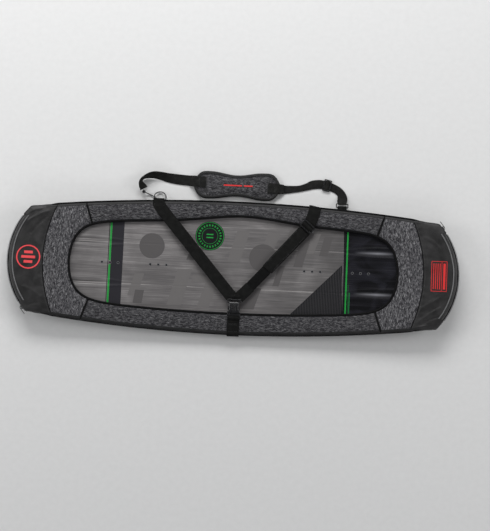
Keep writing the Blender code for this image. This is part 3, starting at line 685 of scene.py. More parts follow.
def heather(name, yarn, across, gain):
    """Knitted heather: flecks drawn out by the yarn's (long, short) scales along x, or y."""
    mat = Mat(name, rough=0.92, spec=0.25)
    at = mat.cloth_coords()

    def turned(long, short, z):
        return (short, long, z) if across else (long, short, z)

    flecks = mat.noise(at, detail=3.0, rough=0.62, warp=1.1, stretch=turned(*yarn, 200.0))
    broad = mat.noise(at, detail=2.0, rough=0.5, warp=0.8, stretch=turned(70.0, 190.0, 60.0))
    both = mat.add(mat.times(flecks, 0.72), mat.times(broad, 0.28))
    colour = mat.ramp(
        both,
        (0.37, tint((0.007, 0.007, 0.008), gain)),
        (0.45, tint((0.022, 0.0215, 0.0240), gain)),
        (0.51, tint((0.078, 0.077, 0.082), gain)),
        (0.58, tint((0.190, 0.187, 0.193), gain)),
        (0.68, tint((0.400, 0.396, 0.405), gain)),
    )
    patches = mat.times(mat.noise(at, scale=9.0), 0.35)
    mat.paint(patches, colour, (0.04, 0.038, 0.045))
    knit = mat.weave(at, turned(2600.0, 3400.0, 1.0))
    height = mat.add(mat.times(knit, 0.25), mat.times(flecks, 1.6))
    mat.bump(height, strength=0.55, distance=0.0006)
    mat.set("Sheen Weight", 0.06)
    mat.set("Sheen Roughness", 0.5)
    return mat.material


def nylon(name, base, rough, weave, crease, sheen=0.02):
    """Coated nylon: a fine plain weave, faint creases, a soft satin highlight and scuffs."""
    mat = Mat(name, rough, spec=0.45)
    at = mat.cloth_coords()
    threads = mat.weave(at, (5200.0, 5200.0, 5200.0))
    wear = mat.noise(at, scale=24.0, detail=4.0, rough=0.6, warp=0.4)
    folds = mat.noise(at, detail=3.0, warp=1.6, stretch=(26.0, 11.0, 10.0))
    mat.paint(mat.fade(wear, 0.35, 0.70), tint(base, 0.72), tint(base, 1.9, add=0.006))
    mat.set("Roughness", mat.add(rough - 0.10, mat.times(wear, 0.22)))
    height = mat.add(mat.times(threads, 0.10 * weave), mat.times(folds, 2.4 * crease))
    mat.bump(height, strength=0.5, distance=0.0012)
    mat.set("Sheen Weight", sheen)
    return mat.material


def webbing(name, base, rib):
    """Woven strap: herringbone ribs of this pitch, finer yarn across them, dusty high points."""
    mat = Mat(name, rough=0.72, spec=0.12)
    at = mat.cloth_coords()
    along, across, _ = mat.parts(at)
    slant = mat.add(along, mat.times(mat.size(across), 0.55))
    ribs = mat.sine(mat.times(slant, TURN / rib))
    yarn = mat.sine(mat.times(across, TURN / 0.0011))
    dust = mat.noise(at, scale=60.0, detail=4.0, rough=0.65)
    face = mat.add(mat.times(ribs, 0.5), mat.times(yarn, 0.35))
    high = mat.fade(mat.add(mat.times(face, 0.22), dust), 0.40, 0.85)
    mat.paint(high, tint(base, 0.62), tint(base, 2.3))
    mat.bump(mat.add(face, mat.times(dust, 0.6)), strength=0.65, distance=0.00035)
    mat.set("Sheen Weight", 0.02)
    mat.set("Sheen Roughness", 0.4)
    return mat.material


def moulded(name, base, rough, grain=0.4):
    """Moulded plastic with a fine grain, rubbed brighter in places."""
    mat = Mat(name, rough)
    at = mat.object_coords()
    grainy = mat.noise(at, scale=2400.0, rough=0.6)
    rubbed = mat.noise(at, scale=70.0, detail=4.0, rough=0.6)
    mat.paint(rubbed, base, tint(base, 1.8, add=0.004))
    mat.set("Roughness", mat.add(rough - 0.06, mat.times(rubbed, 0.20)))
    mat.bump(grainy, strength=grain, distance=0.00015)
    return mat.material


def metal(name, base, rough):
    """Steel with fine draw lines, dulled spots and darker tarnish."""
    mat = Mat(name, rough, metal=1.0)
    at = mat.object_coords()
    lines = mat.noise(at, detail=3.0, rough=0.6, stretch=(400.0, 2200.0, 2200.0))
    dull = mat.noise(at, scale=160.0, detail=4.0, rough=0.65)
    mat.paint(mat.fade(dull, 0.45, 0.72), base, tint(base, 0.55))
    mat.set("Roughness", mat.add(rough - 0.05, mat.times(dull, 0.25)))
    mat.bump(lines, strength=0.18, distance=0.0001)
    return mat.material


def stitching(name, colour):
    """Twisted thread."""
    mat = Mat(name, rough=0.75, spec=0.3)
    inputs = {"Vector": mat.object_coords(), "Scale": 900.0, "Distortion": 2.0}
    twist = mat.node("ShaderNodeTexWave", inputs).outputs[1]
    mat.paint(twist, tint(colour, 0.6), tint(colour, 1.3))
    mat.bump(twist, strength=0.5, distance=0.0002)
    return mat.material


def ink(name, colour, rough=0.5, wear_and_highlight=0.25):
    """Screen-printed ink, slightly broken up."""
    mat = Mat(name, rough, spec=0.4)
    at = mat.object_coords()
    fine = mat.noise(at, scale=900.0, detail=3.0, rough=0.7)
    patchy = mat.noise(at, scale=55.0, detail=3.0, rough=0.6)
    mat.paint(mat.times(mat.add(fine, patchy), 0.5), tint(colour, 1 - wear_and_highlight), colour)
    mat.bump(fine, strength=0.25, distance=0.0002)
    return mat.material


def padding_foam(name, base):
    mat = Mat(name, rough=0.95, spec=0.2)
    inputs = {"Vector": mat.object_coords(), "Scale": 700.0}
    cells = mat.node("ShaderNodeTexVoronoi", inputs).outputs[0]
    mat.paint(cells, tint(base, 0.6), base)
    mat.bump(cells, strength=0.6, distance=0.0005)
    return mat.material


def knit_lining(name, base):
    mat = Mat(name, rough=0.85, spec=0.25)
    at = mat.object_coords()
    knit = mat.weave(at, (3600.0, 3600.0, 1.0))
    fuzz = mat.noise(at, scale=400.0, detail=4.0, rough=0.6)
    mat.paint(fuzz, tint(base, 0.6), tint(base, 1.5))
    mat.bump(mat.add(knit, fuzz), strength=0.4, distance=0.0003)
    return mat.material


def core_wood(name):
    """Grained strips, with dark glue lines between them."""
    mat = Mat(name, rough=0.6, spec=0.3)
    at = mat.object_coords()
    grain = mat.noise(at, detail=6.0, rough=0.65, warp=0.6, stretch=(6.0, 160.0, 160.0))
    strips = mat.math("FRACT", mat.times(mat.parts(at)[1], 28.0))
    tone = mat.mix(mat.fade(grain, 0.3, 0.7), (0.30, 0.19, 0.09), (0.56, 0.40, 0.22))
    mat.paint(mat.fade(strips, 0.0, 0.04), (0.18, 0.11, 0.05), tone)
    mat.bump(grain, strength=0.3, distance=0.0004)
    return mat.material


def deck_print(name):
    """Satin deck print: brushed grey that turns to glossy black at the right end."""
    mat = Mat(name, rough=0.38)
    at = mat.cloth_coords()
    x, y, _ = mat.parts(at)
    brushed = mat.noise(at, detail=6.0, rough=0.72, warp=0.35, stretch=(7.0, 330.0, 1.0))
    streaks = mat.noise(at, detail=4.0, rough=0.6, warp=0.2, stretch=(2.2, 60.0, 1.0))
    cloud = mat.noise(at, scale=6.5, detail=3.0, rough=0.55, warp=0.6)
    soft = mat.add(mat.times(streaks, 0.30), mat.times(cloud, 0.35))
    grey = mat.ramp(
        mat.add(mat.times(brushed, 0.55), soft),
        (0.40, (0.070, 0.065, 0.066)), (0.55, (0.118, 0.111, 0.111)),
        (0.64, (0.165, 0.156, 0.155)), (0.78, (0.330, 0.314, 0.310)),
    )
    # the grey darkens towards the black end
    toward = mat.math("MULTIPLY_ADD", x, 1.0, 0.5)
    shade = mat.ramp(toward, (0.30, 1.0), (0.62, 0.93), (0.86, 0.62))
    grey = mat.mix(1.0, grey, shade, "MULTIPLY")
    hairs = mat.noise(at, rough=0.6, stretch=(30.0, 900.0, 1.0))
    # each channel: a pale line along it, broken up, that is a painted highlight; at the tips a dark
    # line of painted shade and a pale line of painted highlight beside it, on the deep channel's
    # walls
    off = mat.math("SUBTRACT", mat.size(y), CHANNEL_Y)

    def stripe(shift, half_width):
        gap = mat.size(mat.add(off, shift) if shift else off)
        return mat.math("LESS_THAN", gap, half_width)

    broken = mat.fade(mat.noise(at, detail=3.0, stretch=(9.0, 40.0, 1.0)), 0.40, 0.62)
    tip = mat.fade(mat.size(x), 0.40, 0.46)
    # the pale line along each channel is a painted highlight
    wear_and_highlight = mat.times(stripe(0.0, 0.00085), mat.math("MULTIPLY_ADD", broken, 0.45, 0.20))
    grey = mat.mix(wear_and_highlight, grey, (0.42, 0.40, 0.39))
    # at the tips: a dark line of painted shade and a pale line of painted highlight on the channel
    # walls
    dark = mat.times(mat.times(stripe(0.0040, 0.0013), tip), 0.85)
    grey = mat.mix(dark, grey, (0.020, 0.019, 0.019))
    channel_wall_highlight = mat.times(mat.times(stripe(-0.0058, 0.0010), tip), 0.65)
    grey = mat.mix(channel_wall_highlight, grey, (0.40, 0.385, 0.375))
    # black end: faint streaks, a cloudy painted reflection and a painted highlight along the
    # channels
    streaky = mat.fade(streaks, 0.45, 0.8)
    black = mat.mix(streaky, (0.0052, 0.0052, 0.0062), (0.020, 0.019, 0.024))
    painted_reflection = mat.fade(mat.noise(at, warp=0.8, stretch=(9.0, 13.0, 1.0)), 0.48, 0.72)
    black = mat.mix(mat.times(painted_reflection, 0.7), black, (0.030, 0.030, 0.040))
    gleam = mat.ramp(mat.size(off), (0.0, 1.0), (0.0022, 0.55), (0.0060, 0.0))
    reach = mat.size(mat.math("SUBTRACT", x, 0.455))
    reach = mat.ramp(reach, (0.0, 1.0), (0.075, 0.0))
    black = mat.mix(mat.times(mat.times(gleam, reach), 0.75), black, (0.32, 0.32, 0.35))
    edge = mat.add(0.350, mat.times(y, -0.03))
    beyond = mat.math("GREATER_THAN", x, edge)
    mat.paint(beyond, grey, black)
    satin = mat.add(0.46, mat.times(brushed, 0.14))
    mat.set("Roughness", mat.math("SUBTRACT", satin, mat.times(beyond, 0.26)))
    mat.bump(mat.add(hairs, brushed), strength=0.10, distance=0.0003)
    return mat.material


def zip_moulding(name, base):
    mat = Mat(name, rough=0.36)
    spots = mat.noise(mat.object_coords(), scale=320.0, detail=3.0, rough=0.6)
    mat.paint(spots, tint(base, 0.5), tint(base, 1.6))
    mat.bump(spots, strength=0.2, distance=0.0002)
    return mat.material


def floor_paper(name):
    mat = Mat(name, rough=0.9, spec=0.2)
    fine = mat.noise(mat.object_coords(), scale=60.0, detail=3.0)
    mat.paint(fine, (0.70, 0.70, 0.695), (0.76, 0.76, 0.755))
    return mat.material


# the side copy has darker colours (gain 0.66) than the end copy: painted shade on the same heather
HEATHER_SIDE_SHADED = heather("heather_side_painted_shade", yarn=(120.0, 520.0), across=False, gain=0.66)
HEATHER_END = heather("heather_end", yarn=(115.0, 440.0), across=True, gain=1.02)
CAP = nylon("cap_nylon", (0.0098, 0.0093, 0.0095), rough=0.52, weave=0.8, crease=0.6, sheen=0.01)
BLACK = nylon("black_nylon", (0.0062, 0.0060, 0.0064), rough=0.60, weave=1.0, crease=0.4)
BASE = nylon("base_cordura", (0.018, 0.018, 0.0185), rough=0.75, weave=2.6, crease=0.5)
PAD_BINDING = nylon("pad_binding_tape", (0.0035, 0.0034, 0.0034), rough=0.7, weave=1.0,
                    crease=0.4, sheen=0.0)
BINDING = webbing("binding_tape", (0.0034, 0.0033, 0.0036), rib=0.0012)
WEB = webbing("webbing_black", (0.0054, 0.0054, 0.0051), rib=0.0017)
WEB_DARK = webbing("webbing_hook_side", (0.0018, 0.0018, 0.0018), rib=0.0024)
WEB_LIGHT = webbing("webbing_carry", (0.0120, 0.0119, 0.0112), rib=0.0017)
PLASTIC = moulded("acetal_black", (0.0085, 0.0085, 0.0092), rough=0.24)
RAIL = moulded("rail_moulding", (0.010, 0.010, 0.011), rough=0.35)
SOLE = moulded("base_laminate", (0.016, 0.016, 0.018), rough=0.2, grain=0.15)
# the flap piping's light grey is a painted highlight
PIPING_PAINTED_HIGHLIGHT = moulded("piping_painted_highlight", (0.110, 0.110, 0.112), rough=0.28, grain=0.2)
STEEL = metal("plated_steel", (0.16, 0.16, 0.165), rough=0.30)
STEEL_DARK = metal("dark_steel", (0.045, 0.045, 0.047), rough=0.40)
STEEL_PAINTED = metal("painted_steel", (0.020, 0.020, 0.021), rough=0.55)
STEEL_EYELET = metal("eyelet_steel", (0.30, 0.30, 0.31), rough=0.45)
STEEL_INSERT = metal("insert_stainless", (0.62, 0.62, 0.64), rough=0.30)
THREAD = stitching("thread_black", (0.012, 0.012, 0.012))
THREAD_GREY = stitching("thread_grey", (0.09, 0.09, 0.095))
RED = ink("ink_red", (0.80, 0.035, 0.035))
CORAL = ink("ink_coral", (0.93, 0.085, 0.095))
GREEN = ink("ink_green", (0.020, 0.330, 0.055), rough=0.35)
GREEN_DARK = ink("ink_green_deep", (0.012, 0.170, 0.045), rough=0.4)
INK_BLACK = ink("ink_black", (0.010, 0.010, 0.012), rough=0.35)
INK_BAND = ink("ink_band", (0.0245, 0.0235, 0.0290), rough=0.4, wear_and_highlight=0.15)
TONE_DARK = ink("ink_tone_dark", (0.094, 0.088, 0.088), rough=0.55, wear_and_highlight=0.14)
TONE_LIGHT = ink("ink_tone_light", (0.150, 0.142, 0.140), rough=0.55, wear_and_highlight=0.14)
LINE_GREY = ink("ink_line_grey", (0.060, 0.058, 0.060), wear_and_highlight=0.1)
DECK = deck_print("deck_print")
WOOD = core_wood("core_wood")
FOAM = padding_foam("padding_foam", (0.10, 0.10, 0.11))
LINING = knit_lining("lining_knit", (0.045, 0.045, 0.050))
ZIP = zip_moulding("zip_teeth_moulded", (0.30, 0.30, 0.305))

# CAD nodes that keep their shape
for material, names in (
    (WOOD, ("board_core",)),
    (RAIL, ("board_rail",)),
    (SOLE, ("board_base_sheet",)),
    (STEEL_INSERT, [f"insert_block_{k}" for k in (1, 2, 3, 4)]),
    (FOAM, ("frame_foam", "base_foam")),
    (LINING, ("frame_lining", "base_lining")),
):
    for name in names:
        NODES[name].data.materials.clear()
        NODES[name].data.materials.append(material)


# ------------------------------------------------------------------ board
def board_half(x):
    """Half width of the board's outline."""
    x = np.abs(np.asarray(x, float))
    arc = np.sqrt(np.maximum(BOARD_END_R**2 - np.maximum(x - END_X, 0) ** 2, 0.0))
    side = side_w(x) - 0.0125
    return np.where(x < 0.55, side, np.minimum(side, arc))


def deck_height(points):
    """The deck's two channels with raised edges, deeper at the tips, and a low middle ridge."""
    x, y = points[..., 0], points[..., 1]
    z = np.full(x.shape, DECK_Z)
    deep = smoothstep(np.clip((np.abs(x) - 0.30) / 0.16, 0, 1))
    width = 0.0022 + 0.0050 * deep
    for channel in (-CHANNEL_Y, CHANNEL_Y):
        gap = np.abs(y - channel)
        z = z - ridge(gap, 0.00024 + 0.00046 * deep, width)
        z = z + ridge(gap - width * 2.0, 0.00010 + 0.0013 * deep, width * 0.8)
    return z + ridge(y, 0.0009 * deep, 0.017)


def deck():
    """The deck's sheet: a grid that is finer at the tips, the channels and the edge."""
    length = 0.6897
    x = np.unique(np.r_[
        np.linspace(-length, length, 330), np.linspace(-length, -0.64, 24),
        np.linspace(0.64, length, 24),
    ])
    half = np.maximum(board_half(x), 0.004)
    fine = np.arange(-0.024, 0.0241, 0.0010)
    inner = np.r_[np.linspace(-0.1, 0.1, 60), CHANNEL_Y + fine, -CHANNEL_Y - fine]
    inner = np.unique(np.round(inner, 5))
    inner = inner[np.abs(inner) <= 0.1]
    outer = np.array([0.15, 0.3, 0.45, 0.6, 0.75, 0.88, 0.94, 0.97, 0.985, 1.0])
    shrink = np.minimum(half / 0.115, 1.0)[:, None]
    edge = 0.1 * shrink + (half[:, None] - 0.1 * shrink) * outer[None]
    y = np.concatenate([-edge[:, ::-1], inner[None] * shrink, edge], 1)
    points = np.stack([np.broadcast_to(x[:, None], y.shape), y], -1)
    rolled_off = 0.0011 * np.exp(-(half[:, None] - np.abs(y)) / 0.0012)
    world = lay(points, deck_height(points) - rolled_off)
    sheet("deck_top_sheet", world, DECK, pattern(points), 0.0010, "board",
          "board_top_sheet")


deck()


# ------------------------------------------------------------------ printed marks
def on_deck(points, lift):
    points = np.asarray(points, float)
    return lay(points, deck_height(points) + lift)


def decal(name, points, material, place, body, lift):
    """Ink: a very thin closed film over a surface, from a grid of flat points."""
    film = 0.00010
    low, top = place(points, lift - film), place(points, lift)
    rows, columns = points.shape[:2]
    base = rows * columns
    faces = grid_faces(rows, columns)
    faces += [tuple(base + k for k in face[::-1]) for face in faces]
    rim = [i * columns for i in range(rows)]
    rim += [(rows - 1) * columns + j for j in range(1, columns)]
    rim += [i * columns + columns - 1 for i in range(rows - 2, -1, -1)]
    rim += list(range(columns - 2, 0, -1))
    for a, b in zip(rim, rim[1:] + rim[:1]):
        faces.append((b, a, base + a, base + b))
    verts = np.r_[top.reshape(-1, 3), low.reshape(-1, 3)]
    uvw = np.tile(pattern(points).reshape(-1, 3), (2, 1))
    obj = make(name, verts, faces, material, uvw, sharp=30)
    outward(obj)
    return register(obj, body)


def print_marks(name, grids, material, lift, place=on_deck, body="board"):
    """Several printed shapes of one ink as a single piece."""
    parts = [
        decal(f"{name}_{k}", grid, material, place, None, lift)
        for k, grid in enumerate(grids)
    ]
    bm = bmesh.new()
    for part in parts:
        bm.from_mesh(part.data)
    mesh = bpy.data.meshes.new(name)
    bm.to_mesh(mesh)
    bm.free()
    mesh.materials.append(material)
    for part in parts:
        bpy.data.objects.remove(part, do_unlink=True)
    obj = bpy.data.objects.new(name, mesh)
    bpy.context.scene.collection.objects.link(obj)
    return register(obj, body)


def quad_grid(a, b, c, d, step):
    """Bilinear grid over a patch with these four corners."""
    a, b, c, d = (np.asarray(corner, float) for corner in (a, b, c, d))
    rows = max(2, int(max(np.linalg.norm(b - a), np.linalg.norm(c - d)) / step) + 1)
    columns = max(2, int(max(np.linalg.norm(d - a), np.linalg.norm(c - b)) / step) + 1)
    u = np.linspace(0, 1, rows)[:, None, None]
    v = np.linspace(0, 1, columns)[None, :, None]
    return (1 - u) * (1 - v) * a + u * (1 - v) * b + u * v * c + (1 - u) * v * d


def box(x0, x1, y0, y1, step=0.006, lean=0.0):
    """A block whose far edge is shifted by lean."""
    return quad_grid((x0, y0), (x1, y0), (x1 + lean, y1), (x0 + lean, y1), step)


def ring(x, y, inner, outer, start=0.0, stop=360.0, step=6.0):
    """A ring or a part of one; angles and step in degrees."""
    count = max(3, int(abs(stop - start) / step) + 1)
    angle = np.radians(np.linspace(start, stop, count))[:, None]
    radius = np.linspace(inner, outer, max(2, int((outer - inner) / 0.0022) + 2))[None]
    return np.stack([x + radius * np.cos(angle), y + radius * np.sin(angle)], -1)


# leaning bars of the print: x0, x1, y0, y1, lean
LIGHT_BARS = [
    (-0.205, -0.160, -0.125, -0.010, 0.030), (-0.110, -0.072, -0.128, -0.052, 0.024),
    (-0.020, 0.020, 0.020, 0.120, 0.028), (0.080, 0.118, 0.030, 0.118, 0.026),
    (-0.132, -0.030, -0.050, -0.028, 0.006), (0.150, 0.176, 0.040, 0.140, 0.028),
    (0.230, 0.252, 0.055, 0.120, 0.022), (-0.330, -0.300, -0.100, -0.030, 0.020),
]
DARK_BARS = [
    (-0.312, -0.284, -0.124, -0.082, 0.006), (-0.150, -0.110, 0.020, 0.060, 0.016),
    (0.190, 0.218, 0.012, 0.130, 0.030), (0.010, 0.070, -0.128, -0.060, 0.022),
    (0.126, 0.146, -0.052, 0.014, 0.018), (0.270, 0.296, 0.050, 0.112, 0.016),
]
light, dark = ([box(*bar[:4], 0.0022, bar[4]) for bar in bars] for bars in (LIGHT_BARS, DARK_BARS))
print_marks("print_tone_light", light, TONE_LIGHT, lift=0.00012)
discs = [ring(-0.2600, 0.0590, 0.0, 0.0400), ring(0.093, 0.036, 0.0, 0.0440)]
dark = [discs[0], *dark[:2], discs[1], *dark[2:]]
print_marks("print_tone_dark", dark, TONE_DARK, lift=0.00018)

# dark wedge of fine lines towards the black end
WEDGE_Y = -0.144
APEX, WEDGE_LEFT, WEDGE_RIGHT = (
    np.array(p) for p in ((0.342, 0.022), (0.180, WEDGE_Y), (0.350, WEDGE_Y))
)
blunt = APEX + (WEDGE_RIGHT - WEDGE_LEFT) * 0.01
wedge = quad_grid(WEDGE_LEFT, WEDGE_RIGHT, blunt, APEX, 0.0020)
print_marks("print_wedge", [wedge], INK_BLACK, lift=0.00018)
lines = []
for x in np.arange(0.1885, 0.3465, 0.0050):
    if x < APEX[0]:
        top = WEDGE_Y + (x - WEDGE_LEFT[0]) * (0.166 / 0.162)
    else:
        top = APEX[1] - (x - APEX[0]) * 20
    if top > -0.140:
        lines.append(box(x, x + 0.0013, WEDGE_Y, min(top, 0.02) - 0.002, 0.0016))
print_marks("print_wedge_lines", lines, LINE_GREY, lift=0.00024)


def bands(name, spans, material, lift):
    """Stripes across the deck: x0, x1, y0, y1."""
    print_marks(name, [box(*span, 0.0016) for span in spans], material, lift)


left_x, right_x = -0.391, 0.3590
bands("print_left_band", [(-0.3865, -0.350, -0.150, 0.150)], INK_BAND, lift=0.00013)
spans = [
    (left_x - 0.0062, left_x - 0.0042, -0.150, 0.150),
    (left_x + 0.0034, left_x + 0.0046, -0.150, 0.150),
]
bands("print_left_lines", spans, INK_BLACK, lift=0.00022)
spans = [
    (left_x - 0.0028, left_x + 0.0028, 0.006, 0.150),
    (left_x - 0.0028, left_x + 0.0028, -0.150, -0.006),
]
bands("print_left_stripe", spans, GREEN, lift=0.00022)
spans = [(right_x - 0.0095, right_x - 0.0050, -0.160, 0.160)]
bands("print_right_line", spans, INK_BLACK, lift=0.00014)
spans = [(right_x - 0.0024, right_x + 0.0024, -0.160, 0.160)]
bands("print_right_stripe", spans, GREEN, lift=0.00022)
dashes = [
    box(right_x + 0.0062, right_x + 0.0072, -0.142, -0.036, 0.004),
    box(right_x + 0.0092, right_x + 0.0125, -0.142, -0.062, 0.004),
]
print_marks("print_right_dashes", dashes, GREEN_DARK, lift=0.00022)

# round seal: disc, two rings, a ring of ticks and two bars
SEAL_X, SEAL_Y = -0.0783, 0.0987
print_marks("print_seal_disc", [ring(SEAL_X, SEAL_Y, 0.0, 0.046)], INK_BLACK, lift=0.00022)
seal = [ring(SEAL_X, SEAL_Y, 0.0425, 0.0442, step=4), ring(SEAL_X, SEAL_Y, 0.0245, 0.0256)]
for angle in np.arange(0, 360, 15.0):
    seal.append(ring(SEAL_X, SEAL_Y, 0.0310, 0.0372, angle, angle + 6.5, 3.0))
seal.append(box(SEAL_X - 0.011, SEAL_X + 0.011, SEAL_Y + 0.0030, SEAL_Y + 0.0068))
seal.append(box(SEAL_X - 0.011, SEAL_X + 0.011, SEAL_Y - 0.0068, SEAL_Y - 0.0030))
print_marks("print_seal_marks", seal, GREEN, lift=0.00032)

# insert eyelets: four groups of three, each with a black disc of painted shade in its hole
eyelets, painted_hole_shade = [], []
for offset in (-0.3961, -0.2437, 0.2437, 0.3961):
    for k in (-1, 0, 1):
        x = 0.0065 + offset + 0.0254 * k
        eyelets.append(ring(x, 0.0, 0.0030, 0.0043, step=12))
        painted_hole_shade.append(ring(x, 0.0, 0.0, 0.0033, step=12))
print_marks("insert_eyelets", eyelets, STEEL_EYELET, lift=0.00034)
print_marks("insert_holes_painted_shade", painted_hole_shade, INK_BLACK, lift=0.00030)

# ------------------------------------------------------------------ sleeve round the opening
for sign, side_name in SIDES:
    inner = resample(window_line(-SEAM_IN, SEAM_IN, sign), 260)
    inner = inner + left_of(inner) * sign * 0.0012
    x = np.linspace(-SEAM_OUT, SEAM_OUT, 260)
    outer = np.stack([x, sign * (side_w(x) - COVER_INSET)], -1)
    panel(f"side_cover_{side_name}", inner, outer, HEATHER_SIDE_SHADED, 26, f"side_panel_{side_name}")


def window_end(end, sign):
    """The opening's edge from a diagonal seam out to the tip."""
    return window_line(*sorted((end * SEAM_IN, end * WINDOW_X)), sign)[::end]


for end, end_name in ENDS:
    inner = resample(np.r_[window_end(end, 1), window_end(end, -1)[::-1][1:]], 241)
    away = inner - np.array([end * 0.40, 0.0])
    inner = inner + away / np.linalg.norm(away, axis=1)[:, None] * 0.0010
    x = np.linspace(SEAM_OUT, CORNER_X, 30)
    upper = np.stack([end * x, side_w(x) - COVER_INSET], -1)
    lower = upper[::-1] * [1, -1]
    corner_y = float(side_w(CORNER_X)) - COVER_INSET
    seam = cap_seam(end, np.linspace(corner_y, -corner_y, 180))
    outer = resample(np.r_[upper, seam[1:-1], lower], 241)
    # both corners lie on grid rows, so that the cover reaches them
    for target in (upper[-1], lower[0]):
        outer[int(np.argmin(np.linalg.norm(outer - target, axis=1)))] = target
    panel(f"end_cover_{end_name}", inner, outer, HEATHER_END, 24, f"end_panel_{end_name}")


def opening_binding():
    """A rolled tape round the opening, with a row of stitches outside it."""
    sections = [
        lay(WINDOW + WINDOW_OUT * (-0.0030 + 0.0040 * math.cos(t)),
            0.0233 + 0.0042 * math.sin(t) + 0.00025 * ripple(WINDOW, 0.03))
        for t in np.linspace(0, 2 * math.pi, 15)[:-1]
    ]
    uvw = strip_uv(lengths(WINDOW), np.linspace(-0.01, 0.01, 14))
    loft("binding_roll", np.stack(sections, 1), BINDING, uvw, True, 60, "root",
         "opening_binding")
    stitches("binding_stitches", WINDOW + WINDOW_OUT * 0.0062, THREAD_GREY, above_cover(0.0001),
             pitch=0.0050, length=0.0032, radius=0.0004, closed=True)


opening_binding()

# tapes over the diagonal seams
for k, (start, stop) in enumerate(DIAGONALS):
    # the ends are measured on the resampled line, whose length is the same
    run = (stop - start) / np.linalg.norm(stop - start)
    path = resample(np.array([start - run * 0.001, stop - run * 0.0015]), 26)
    world = on_cover(path, 0.0002)
    side = np.cross(lay(path, 0.1) - lay(path, 0.0), np.gradient(world, axis=0))
    strap(f"corner_tape_{k}", world, side, 0.0078, BINDING, thick=0.0012,
          crown=0.0005)
    square = np.array([-run[1], run[0]])
    for sign, row_name in ((-1, "a"), (1, "b")):
        stitches(f"corner_stitch_{k}_{row_name}", path + square * 0.0030 * sign, THREAD,
                 above_cover(0.0011), pitch=0.0045)

# piping and stitches along the cap seams
for end, end_name in ENDS:
    path = cap_seam(end, np.linspace(0.171, -0.171, 150))
    tube(f"cap_piping_{end_name}", on_cover(path, -0.0001), 0.0016, BINDING, 10, flat=0.8)
    stitches(f"cap_stitch_{end_name}", path + [end * 0.0048, 0], THREAD_GREY,
             above_cover(0.0002), pitch=0.0048)


def gusset(sign, side_name):
    """The bulging side wall, carried a little way round the end arcs."""
    x = np.linspace(-SIDE_END, SIDE_END, 220)
    right = end_arc(1, END_R, np.linspace(42.0, 34.5, 8))
    line = np.r_[right[::-1] * [-1, 1], np.stack([x, side_w(x)], -1), right] * [1, sign]
    out = left_of(line) * sign
    heights = np.linspace(0.0012, 0.0248, 12)
    rise = (heights - heights[0]) / (heights[-1] - heights[0])
    bulge = 0.0022 * np.sin(np.pi * rise) ** 0.8 - 0.0006
    slack = 0.0005 * np.sin(line[:, 0] * TURN / 0.045 + 2 * ripple(line, 0.15))
    wall = np.stack([
        lay(line + out * (b + slack * math.sin(math.pi * t))[:, None], z)
        for z, b, t in zip(heights, bulge, rise)
    ], 1)
    sheet(f"gusset_cover_{side_name}", wall, BLACK, strip_uv(lengths(line), heights),
          replaces=f"gusset_{side_name}")


def edge_trim(sign, side_name):
    """Piping that tapers off at its ends, with a stitched tape beside it."""
    x = np.linspace(-0.598, 0.598, 200)
    ease = smoothstep(np.clip((0.598 - np.abs(x)) / 0.040, 0.0, 1.0))
    pipe = np.stack([x, sign * (side_w(x) + 0.0016 * ease - 0.0012 * (1 - ease))], -1)
    tube(f"edge_pipe_{side_name}", lay(pipe, 0.0246 + 0.0003 * ripple(pipe, 0.05)),
         0.0006 + 0.0015 * ease, BINDING, 10, replaces=f"edge_piping_{side_name}")

    def inset(gap):
        return np.stack([x, sign * (side_w(x) - gap)], -1)

    grid = between(inset(0.0092), inset(0.0008), 7)
    world = on_cover(grid, 0.0004 + 0.0003 * np.sin(np.linspace(0, math.pi, 7))[None])
    sheet(f"edge_tape_{side_name}", world, BLACK, pattern(grid), 0.0006)
    stitches(f"edge_stitch_{side_name}", inset(0.0078), THREAD, above_cover(0.0006), pitch=0.0050)


for side in SIDES:
    gusset(*side)
    edge_trim(*side)


# ------------------------------------------------------------------ end caps, flaps and zips
def zip_at(end, radius, angle, z):
    """Points about the end arc's centre, in the plane the zip lies in."""
    along, normal = end * tangent_at(ZIP_X * end), normal_at(ZIP_X * end)
    centre = roll([ZIP_X * end, 0.0, 0.0]) - along * (ZIP_X - END_X)
    radius, angle, z = (np.asarray(v, float)[..., None] for v in (radius, angle, z))
    across = Y_AXIS * radius * np.sin(angle)
    return centre + along * radius * np.cos(angle) + across + normal * z


def bend_with_flap(obj):
    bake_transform(obj)


def cap_cover(end, end_name):
    """The fixed part: a middle sheet up to the fold, and a corner on each side of the flap."""
    y = np.linspace(FLAP_Y, -FLAP_Y, 150)
    fold = np.stack([np.full(len(y), end * FOLD_START), y], -1)
    panel(f"cap_cover_{end_name}", cap_seam(end, y), fold, CAP, 16, f"cap_{end_name}")
    for sign, side_name in SIDES:
        inner_y, outer_x = FLAP_Y + 0.0001, 0.6655
        seam = cap_seam(end, sign * np.linspace(inner_y, 0.1731, 30))
        x = np.linspace(outer_x, CORNER_X, 90)
        arc = np.sqrt(np.maximum(END_R**2 - np.maximum(x - END_X, 0) ** 2, 0))
        width = np.minimum(side_w(x), arc) - COVER_INSET
        edge = resample(np.stack([end * x, sign * width], -1), 30)
        edge[0] = [end * outer_x, sign * inner_y]
        panel(f"cap_corner_{end_name}_{side_name}", seam, edge, CAP, 22)


# the flap's hanging edge: radius about the end arc's centre, height
FLAP_DROP = (
    (0.2366, 0.0258), (0.2378, 0.0246), (0.2387, 0.0230), (0.2395, 0.0206),
    (0.2402, 0.0175), (0.2409, 0.0140), (0.2417, 0.0105), (0.2424, 0.0084),
)


